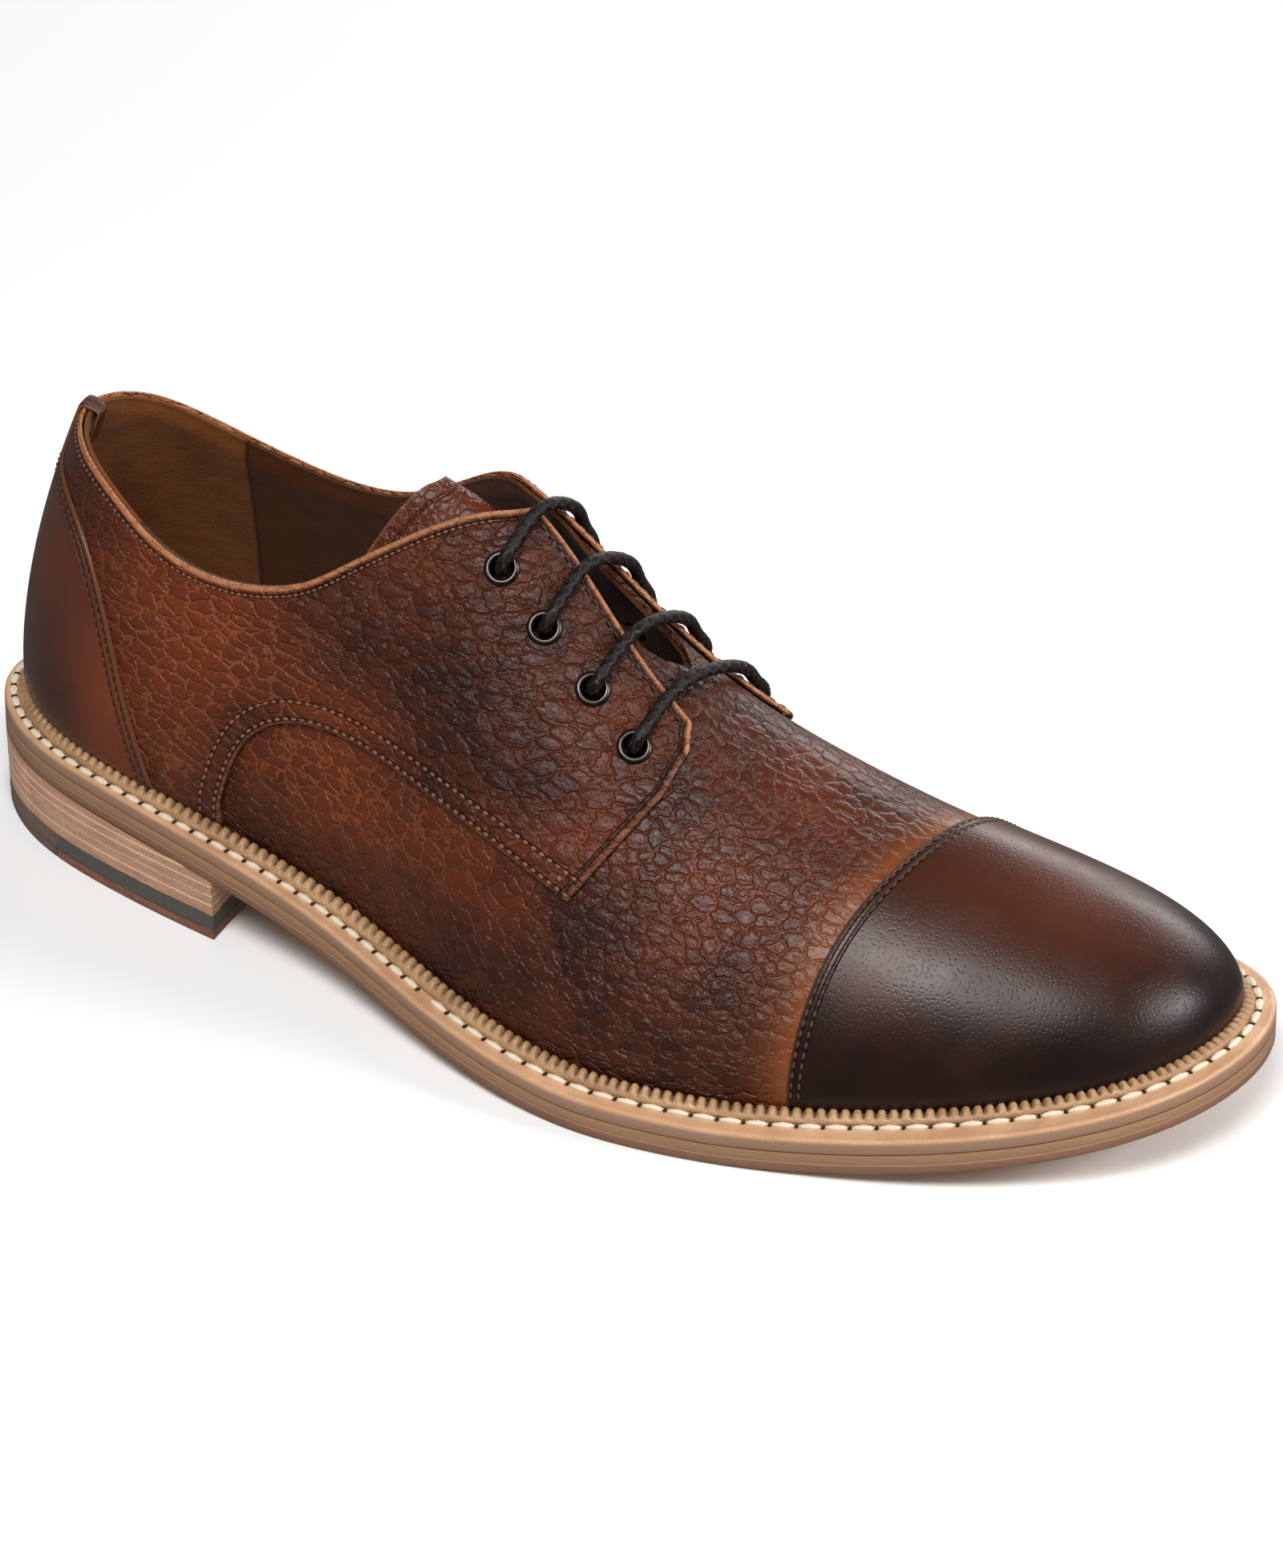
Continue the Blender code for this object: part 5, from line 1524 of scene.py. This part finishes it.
# Outsole: one thick oak-bark leather sole, trimmed flush with the welt and waxed brown on its edge.
# A scored line runs round the edge, and a stitch channel is closed over on the tread.
OUTSOLE_SECTION = [
    # inset, height
    (0.5, OUTSOLE_THICK),
    (0.1, OUTSOLE_THICK - 0.12),
    (0.0, OUTSOLE_THICK - 0.4),
    (0.0, 2.60),
    (0.07, 2.50),
    (0.07, 2.40),
    (0.0, 2.30),
    (0.0, 0.95),
    (0.22, 0.30),
    (0.75, 0.0),
]
TREAD_COLUMNS = np.linspace(0, 1, 17)[1:-1]
TOP_COLUMNS = (0.75, 0.5, 0.25, 0.0)
SCORE_HEIGHT = 2.45
CHANNEL_INSET = 6.0
UPPER_BAND = ((0.215, 0.108, 0.052), (0.335, 0.185, 0.095))
LOWER_BAND = ((0.150, 0.068, 0.036), (0.230, 0.112, 0.062))
SCORE_PALE = (0.42, 0.25, 0.14)
TREAD = ((0.36, 0.21, 0.11), (0.52, 0.33, 0.19))
CHANNEL_DARK = (0.13, 0.065, 0.03)
edge_wax, tree, shader = finish("sole_edge_wax", roughness=0.45, coat_weight=0.15, coat_roughness=0.35)
level_up = attribute(tree, "level")
grain_lines = clouds(tree, 420.0, 5.0, (0.12, 0.12, 3.5))
upper_band = blend(tree, grain_lines, *UPPER_BAND)
lower_band = blend(tree, grain_lines, *LOWER_BAND)
side_colour = blend(tree, ramp(tree, level_up, 2.2, 2.5), lower_band, upper_band)
from_score = apart(tree, level_up, SCORE_HEIGHT)
side_colour = blend(tree, ramp(tree, from_score, 0.05, 0.22, 0.6, 0.0), side_colour, SCORE_PALE)
tread_cloud = clouds(tree, 55.0, 5.0)
tread_colour = blend(tree, tread_cloud, *TREAD)
from_channel = apart(tree, attribute(tree, "inset"), CHANNEL_INSET)
tread_colour = blend(tree, ramp(tree, from_channel, 0.1, 0.6, 0.7, 0.0), tread_colour, CHANNEL_DARK)
on_tread = ramp(tree, level_up, 0.02, 0.25, 1.0, 0.0)
dress(tree, shader, blend(tree, on_tread, side_colour, tread_colour),
      ramp(tree, on_tread, 0.0, 1.0, 0.42, 0.7), grain_lines, 0.10)


def side_rows(s):
    """Rows down one side of the outsole, each with its height and its insets."""
    return [(edge_ring(s, *row), row[1], np.full(len(s), row[0])) for row in OUTSOLE_SECTION]


lateral, medial = side_rows(lateral_s), side_rows(medial_s)
tops, treads = ((lateral[k][0], medial[k][0]) for k in (0, -1))
tread_half = np.linalg.norm(treads[0] - treads[1], axis=1) / 2
tread = [(across_row(treads, u, 0.0), 0.0, tread_half * (1 - abs(2 * u - 1))) for u in TREAD_COLUMNS]
top = [(across_row(tops, u, OUTSOLE_THICK), *lateral[0][1:]) for u in TOP_COLUMNS]
rows, levels, insets = zip(*lateral, *tread, *medial[::-1], *top)
points = np.array(rows).transpose(1, 0, 2)
bm = woven(points, {"level": np.broadcast_to(levels, points.shape[:2]), "inset": np.array(insets).T})
bmesh.ops.recalc_face_normals(bm, faces=bm.faces)
piece("outsole_leather", bm, edge_wax, "outsole")

# Heel: leather lifts pegged and glued in a stack, ground flush and waxed, on a dark rubber lift.
# The rubber reaches the floor at the back, and a leather tip fills the tread in front of it.
BREAST_X = 77.0
BREAST_HOLLOW = 2.4
HEEL_TAPER = 0.5
TIP_TOP = 2.2
RUBBER_TOP = 6.0
LOWER_LIFT_TOP = 11.0
RUBBER_TIP_X = 29.0
HEEL_POINTS = 48
BREAST_POINTS = 15
LIFT_ROUND = 0.06
LIFT_GAP = 0.05
TIP_GAP = 0.3
LIFT_LINES = (8.6, 11.0, 13.4, 15.6)
LIFT_LIGHT = (0.50, 0.275, 0.165)
LIFT_DARK = (0.36, 0.185, 0.105)
TIP_LIGHT = (0.26, 0.105, 0.062)
TIP_DARK = (0.17, 0.062, 0.036)
RUBBER_GREY = ((0.062, 0.054, 0.045), (0.095, 0.083, 0.070))
RUBBER_BROWN = ((0.105, 0.070, 0.052), (0.150, 0.104, 0.080))


def edge_place(side, x):
    """Loop place where the sole's edge passes x, behind the waist."""
    scan = np.linspace(0.0, 0.3, 900) if side == "lateral" else np.linspace(1.0, 0.7, 900)
    return np.interp(x, edge(scan)[:, 0], scan)


def heel_plan(inset, back_x=None, front_x=BREAST_X):
    """Outline of the heel seen from above: back, lateral side, breast, medial side."""
    bend = np.linspace(0, 1, HEEL_POINTS + 1) ** 1.15
    sides = []
    for side, back in (("lateral", 0.0), ("medial", 1.0)):
        start = back if back_x is None else edge_place(side, back_x)
        run = start + (edge_place(side, front_x) - start) * bend
        sides.append(edge(run)[:, :2] + inward(run) * inset)
    lateral, medial = sides
    share = np.linspace(0, 1, BREAST_POINTS + 2)[1:-1, None]
    breast = lateral[-1] + (medial[-1] - lateral[-1]) * share
    if front_x == BREAST_X:
        breast[:, 0] -= BREAST_HOLLOW * 4 * (share * (1 - share))[:, 0]
    first = 1 if back_x is None else 0
    return np.r_[lateral, breast, medial[first:][::-1]]


def lift(bm, low_plan, low, high_plan, high):
    """Add one lift of the heel between two outlines at two heights, with its rims eased."""
    heights = [np.broadcast_to(z, len(low_plan)) for z in (low, high)]
    ring = [bm.verts.new(p) for p in to_shoe(np.c_[low_plan, heights[0]])]
    base = bm.faces.new(ring)
    raised = bmesh.ops.extrude_face_region(bm, geom=[base])["geom"]
    tops = [item for item in raised if isinstance(item, bmesh.types.BMVert)]
    nearest = np.array([np.argmin(np.linalg.norm(to_shoe(np.c_[low_plan, heights[0]]) - vert.co, axis=1))
                        for vert in tops])
    for vert, place in zip(tops, to_shoe(np.c_[high_plan, heights[1]])[nearest]):
        vert.co = place
    base.normal_flip()
    rims = [e for vert in [*ring, *tops] for e in vert.link_edges
            if (e.verts[0] in ring) == (e.verts[1] in ring)]
    bmesh.ops.bevel(bm, geom=list(set(rims)), offset=LIFT_ROUND * MM, affect="EDGES", segments=2,
                    profile=0.5, material=-1)


def heel_mesh(*lifts):
    """Lifts of the heel in one mesh, each with its two outlines and two heights."""
    bm = bmesh.new()
    for parts in lifts:
        lift(bm, *parts)
    bmesh.ops.recalc_face_normals(bm, faces=bm.faces)
    return bm


heel_leather = tan_leather("heel_leather", LIFT_LIGHT, LIFT_DARK, streak=520.0, depth=0.12,
                           lines=LIFT_LINES)
tip_leather = tan_leather("tip_leather", TIP_LIGHT, TIP_DARK, streak=520.0, depth=0.12)
taper = {"seat": 0.0, "joint": 0.4 * HEEL_TAPER, "rubber": 0.7 * HEEL_TAPER, "tip": 0.8 * HEEL_TAPER}
plans = {name: heel_plan(inset) for name, inset in taper.items()}
seat_height = sole_z(plans["seat"][:, 0]) - LIFT_GAP
bm = heel_mesh((plans["joint"], LOWER_LIFT_TOP + LIFT_GAP, plans["seat"], seat_height))
piece("heel_lift_top", bm, heel_leather, "heel_lift_upper")
bm = heel_mesh((plans["rubber"], RUBBER_TOP + LIFT_GAP, plans["joint"], LOWER_LIFT_TOP))
piece("heel_lift_middle", bm, heel_leather, "heel_lift_lower")
tip_low, tip_high = (heel_plan(inset, RUBBER_TIP_X + TIP_GAP) for inset in (HEEL_TAPER, taper["tip"]))
bm = heel_mesh((tip_low, 0.0, tip_high, TIP_TOP))
piece("heel_tip_leather", bm, tip_leather, "heel_tip")

heel_rubber, tree, shader = finish("heel_rubber", roughness=0.62)
rubber_cloud = clouds(tree, 900.0, 4.0)
forward = wire(tree, "SeparateXYZ", {0: turned(tree)}).outputs[0]
rubber_start = to_shoe(np.array([RUBBER_TIP_X, 0.0, 0.0]))[0]
grey_share = ramp(tree, forward, rubber_start - 1.5 * MM, rubber_start + 1.5 * MM)
rubber_grey, rubber_brown = (blend(tree, rubber_cloud, *pair) for pair in (RUBBER_GREY, RUBBER_BROWN))
dress(tree, shader, blend(tree, grey_share, rubber_brown, rubber_grey), height=rubber_cloud, depth=0.08)
back_low, back_high = (heel_plan(inset, None, RUBBER_TIP_X) for inset in (HEEL_TAPER, taper["tip"]))
bm = heel_mesh((plans["tip"], TIP_TOP + LIFT_GAP, plans["rubber"], RUBBER_TOP),
               (back_low, 0.0, back_high, TIP_TOP + LIFT_GAP))
piece("heel_rubber_lift", bm, heel_rubber, "heel_rubber")

# Eyelets: dark gunmetal rings, drawn from sheet brass, with a lip that is worn bright.
# Each is pushed through a punched hole in the facing and the upper, and its head is rolled over.
EYELET_STEPS = 36
GUNMETAL = ((0.030, 0.027, 0.025), (0.075, 0.068, 0.062))
WORN_METAL = (0.125, 0.098, 0.078)
LIP_HEIGHT = 0.25
LIP_RADIUS = 2.9
EYELET_SECTION = [
    # radius, height over the facing
    (2.30, -3.60),
    (2.52, -3.60),
    (2.55, 0.02),
    (3.72, 0.02),
    (3.80, 0.18),
    (3.70, 0.45),
    (3.40, 0.72),
    (3.05, 0.84),
    (2.72, 0.80),
    (2.48, 0.60),
    (2.36, 0.30),
    (2.30, -0.20),
]
gunmetal, tree, shader = finish("gunmetal", roughness=0.30, metallic=1.0)
tarnish = clouds(tree, 700.0, 4.0)
worn = ramp(tree, attribute(tree, "lip"), 0.35, 0.9)
metal_colour = blend(tree, tarnish, *GUNMETAL)
dress(tree, shader, blend(tree, worn, metal_colour, WORN_METAL),
      ramp(tree, tarnish, 0.3, 0.7, 0.22, 0.40), tarnish, 0.03)
for side, places in eyelets.items():
    for number, (s, t, seat, out) in enumerate(places, 1):
        bm = bmesh.new()
        lip = bm.verts.layers.float.new("lip")
        ring = [bm.verts.new((radius * MM, 0, height * MM)) for radius, height in EYELET_SECTION]
        for vert, (radius, height) in zip(ring, EYELET_SECTION):
            vert[lip] = float(height > LIP_HEIGHT and radius < LIP_RADIUS)
        for a, b in zip(ring, ring[1:] + ring[:1]):
            bm.edges.new((a, b))
        bmesh.ops.spin(bm, geom=bm.verts[:] + bm.edges[:], axis=(0, 0, 1), cent=(0, 0, 0),
                       angle=2 * np.pi, steps=EYELET_STEPS, use_merge=True)
        bmesh.ops.remove_doubles(bm, verts=bm.verts, dist=MERGE_DISTANCE * MM / 2)
        bmesh.ops.recalc_face_normals(bm, faces=bm.faces)
        bm.transform(facing_frame(seat, out))
        name = "eyelet_%s_%d" % (side, number)
        piece("ring_" + name, bm, gunmetal, name, sharp=60.0)

# Lace: one round waxed cotton cord, braided over a core, in straight bars up the throat.
# It runs hidden under the facings between the bars, and both its ends are tucked in at the top.
LACE_RADIUS = 1.45
LACE_LIFT = 2.0
LACE_CHANNEL = 4.0
LACE_ASIDE = 0.045
LACE_STEP = 0.22
LACE_SIDES = 16
STRANDS = 4
STRAND_RISE = 0.12
BRAID_PITCH = 3.2
LACE_UNDER = -WALL - 0.5 * LACE_CHANNEL
EYELET_FOOT = QUARTER_TOP + WALL + 0.7
CORD_GROOVE_SHADE = (0.0045, 0.0026, 0.0018)
CORD_STRAND_TOP = (0.019, 0.0115, 0.0080)
WAX_GLINT = (0.16, 0.14, 0.125)


def over_bar(start, end):
    """Way of the lace from one eyelet over both facings to the other."""
    halves = []
    for s, t, seat, out in (start, end):
        side = "lateral" if s < TOE else "medial"
        x = rib(s, t)[0]
        reach = facing(x)[SIDES.index(side)] + 1.0
        lip = np.array(locate(side, np.array([x + 1.0]), np.array([reach])))[:, 0]
        lip_point = skin(*lip, QUARTER_TOP + LACE_LIFT)
        middle = skin((s + lip[0]) / 2, (t + lip[1]) / 2, QUARTER_TOP + LACE_LIFT)
        across = unit((middle - seat) - out * np.dot(middle - seat, out))
        rise = seat + LACE_LIFT * out + 0.8 * across
        halves.append([seat - 1.4 * out, seat + 0.7 * out, rise, middle, lip_point])
    return halves[0] + halves[1][::-1]


def under_run(start, end):
    """Way of the lace under the facing from one eyelet to the next."""
    run = [skin(start[0] + (end[0] - start[0]) * f, start[1] + (end[1] - start[1]) * f, LACE_UNDER)
           for f in (0.25, 0.5, 0.75)]
    along = unit(run[2] - run[0])
    turn_in = start[2] - EYELET_FOOT * start[3] + 0.5 * along
    turn_out = end[2] - EYELET_FOOT * end[3] - 0.5 * along
    return [turn_in] + run + [turn_out]


def idle_end(places):
    """Way of the lace's idle end, beside one row of eyelets from the top one to the lowest."""
    beside = np.array([(s, t - LACE_ASIDE) for s, t, seat, out in places])
    beside[-1] = 0.4 * beside[-2] + 0.6 * beside[-1]
    seat, out = places[-1][2:]
    return [skin(s, t, LACE_UNDER) for s, t in beside] + [seat - EYELET_FOOT * out]


route = idle_end(eyelets["lateral"])
side_order = list(SIDES)
for bar in (3, 2, 1, 0):
    first, second = side_order
    route += over_bar(eyelets[first][bar], eyelets[second][bar])
    if bar:
        route += under_run(eyelets[second][bar], eyelets[second][bar - 1])
    side_order.reverse()
route = np.array(route)
lace_length = paces(smooth_line(route, 4000))[-1]
way = smooth_line(route, int(lace_length / LACE_STEP))
run = unit(np.gradient(way, axis=0))
side_way = np.zeros_like(run)
side_way[0] = unit(np.cross(run[0], (0, 0, 1)))
for i in range(1, len(run)):
    side_way[i] = unit(side_way[i - 1] - run[i] * np.dot(side_way[i - 1], run[i]))
other_way = np.cross(run, side_way)
turn = np.linspace(0, 2 * np.pi, LACE_SIDES + 1)
twist = 2 * np.pi * paces(way)[:, None] / BRAID_PITCH
strand = np.maximum(np.sin(STRANDS * turn + twist), np.sin(STRANDS * turn - twist))
radius = LACE_RADIUS - STRAND_RISE + STRAND_RISE * strand
radius[[0, -1]] = 0.02
lace_points = (way[:, None] + radius[..., None] * (np.cos(turn)[:, None] * side_way[:, None]
                                                   + np.sin(turn)[:, None] * other_way[:, None]))
lace_cord, tree, shader = finish("lace_cord", roughness=0.55, specular=0.25)
strand_top = ramp(tree, attribute(tree, "strand"), 0.4, 1.0)
wax = clouds(tree, 1500.0, 3.0)
# painted highlight: light wax glints on the strand tops
wax_glint = sums(tree, "MULTIPLY", ramp(tree, wax, 0.55, 0.75), strand_top)
# painted shade: the cord is darker in the grooves between strands
cord_colour = blend(tree, strand_top, CORD_GROOVE_SHADE, CORD_STRAND_TOP)
dress(tree, shader, blend(tree, wax_glint, cord_colour, WAX_GLINT), height=wax, depth=0.05)
bm = woven(lace_points, {"strand": np.broadcast_to(strand, lace_points.shape[:2])})
bmesh.ops.recalc_face_normals(bm, faces=bm.faces)
piece("lace_cord", bm, lace_cord, "lace", sharp=80.0)

# Studio: a pale seamless floor, one large soft light over the shoe, two beside it and a white room.
# The camera stands at the lateral side in front, looking down at the shoe from about thirty degrees.
FLOOR_HALF = 3.0
AIM = Vector((0.00615, 0.01215, 0.0410))
CAMERA_BACK = Vector((0.437, -0.732, 0.5225))
CAMERA_AWAY = 1.8
LENS = 194.9
SENSOR_HEIGHT = 36.0
LIGHTS = [
    # name, direction from the shoe, distance, width, height, power
    ("key", (0.16, -0.55, 0.82), 1.25, 0.75, 0.45, 17.0),
    ("toe", (0.88, 0.21, 0.42), 1.20, 0.34, 0.34, 9.0),
    ("rim", (-0.15, 0.93, 0.34), 1.30, 1.30, 0.35, 10.0),
]
WORLD_LIGHT = 0.16
FLOOR_GREY = ((0.84, 0.84, 0.84), (0.88, 0.88, 0.88))
floor_finish, tree, shader = finish("floor_paper", roughness=0.9)
floor_cloud = clouds(tree, 3.0)
dress(tree, shader, blend(tree, floor_cloud, *FLOOR_GREY))
bm = bmesh.new()
bmesh.ops.create_grid(bm, x_segments=1, y_segments=1, size=FLOOR_HALF)
floor = stand("floor", mesh_of("floor", bm))
floor.data.materials.append(floor_finish)
floor.visible_glossy = False

for name, direction, away, width, height, power in LIGHTS:
    lamp = bpy.data.lights.new(name, "AREA")
    lamp.shape = "RECTANGLE"
    lamp.size, lamp.size_y = width, height
    lamp.energy = power
    holder = stand(name, lamp)
    holder.location = AIM + Vector(direction).normalized() * away
    holder.rotation_euler = (-Vector(direction)).to_track_quat("-Z", "Y").to_euler()

world = bpy.data.worlds.new("studio")
world.use_nodes = True
world.node_tree.nodes["Background"].inputs["Color"].default_value = (1.0, 1.0, 1.0, 1.0)
world.node_tree.nodes["Background"].inputs["Strength"].default_value = WORLD_LIGHT
bpy.context.scene.world = world

camera_data = bpy.data.cameras.new("camera")
camera_data.sensor_fit = "VERTICAL"
camera_data.sensor_height = SENSOR_HEIGHT
camera_data.lens = LENS
camera = stand("camera", camera_data)
camera.location = AIM + CAMERA_BACK.normalized() * CAMERA_AWAY
camera.rotation_euler = (-CAMERA_BACK).to_track_quat("-Z", "Y").to_euler()
bpy.context.scene.camera = camera
bpy.context.scene.view_settings.view_transform = "Standard"
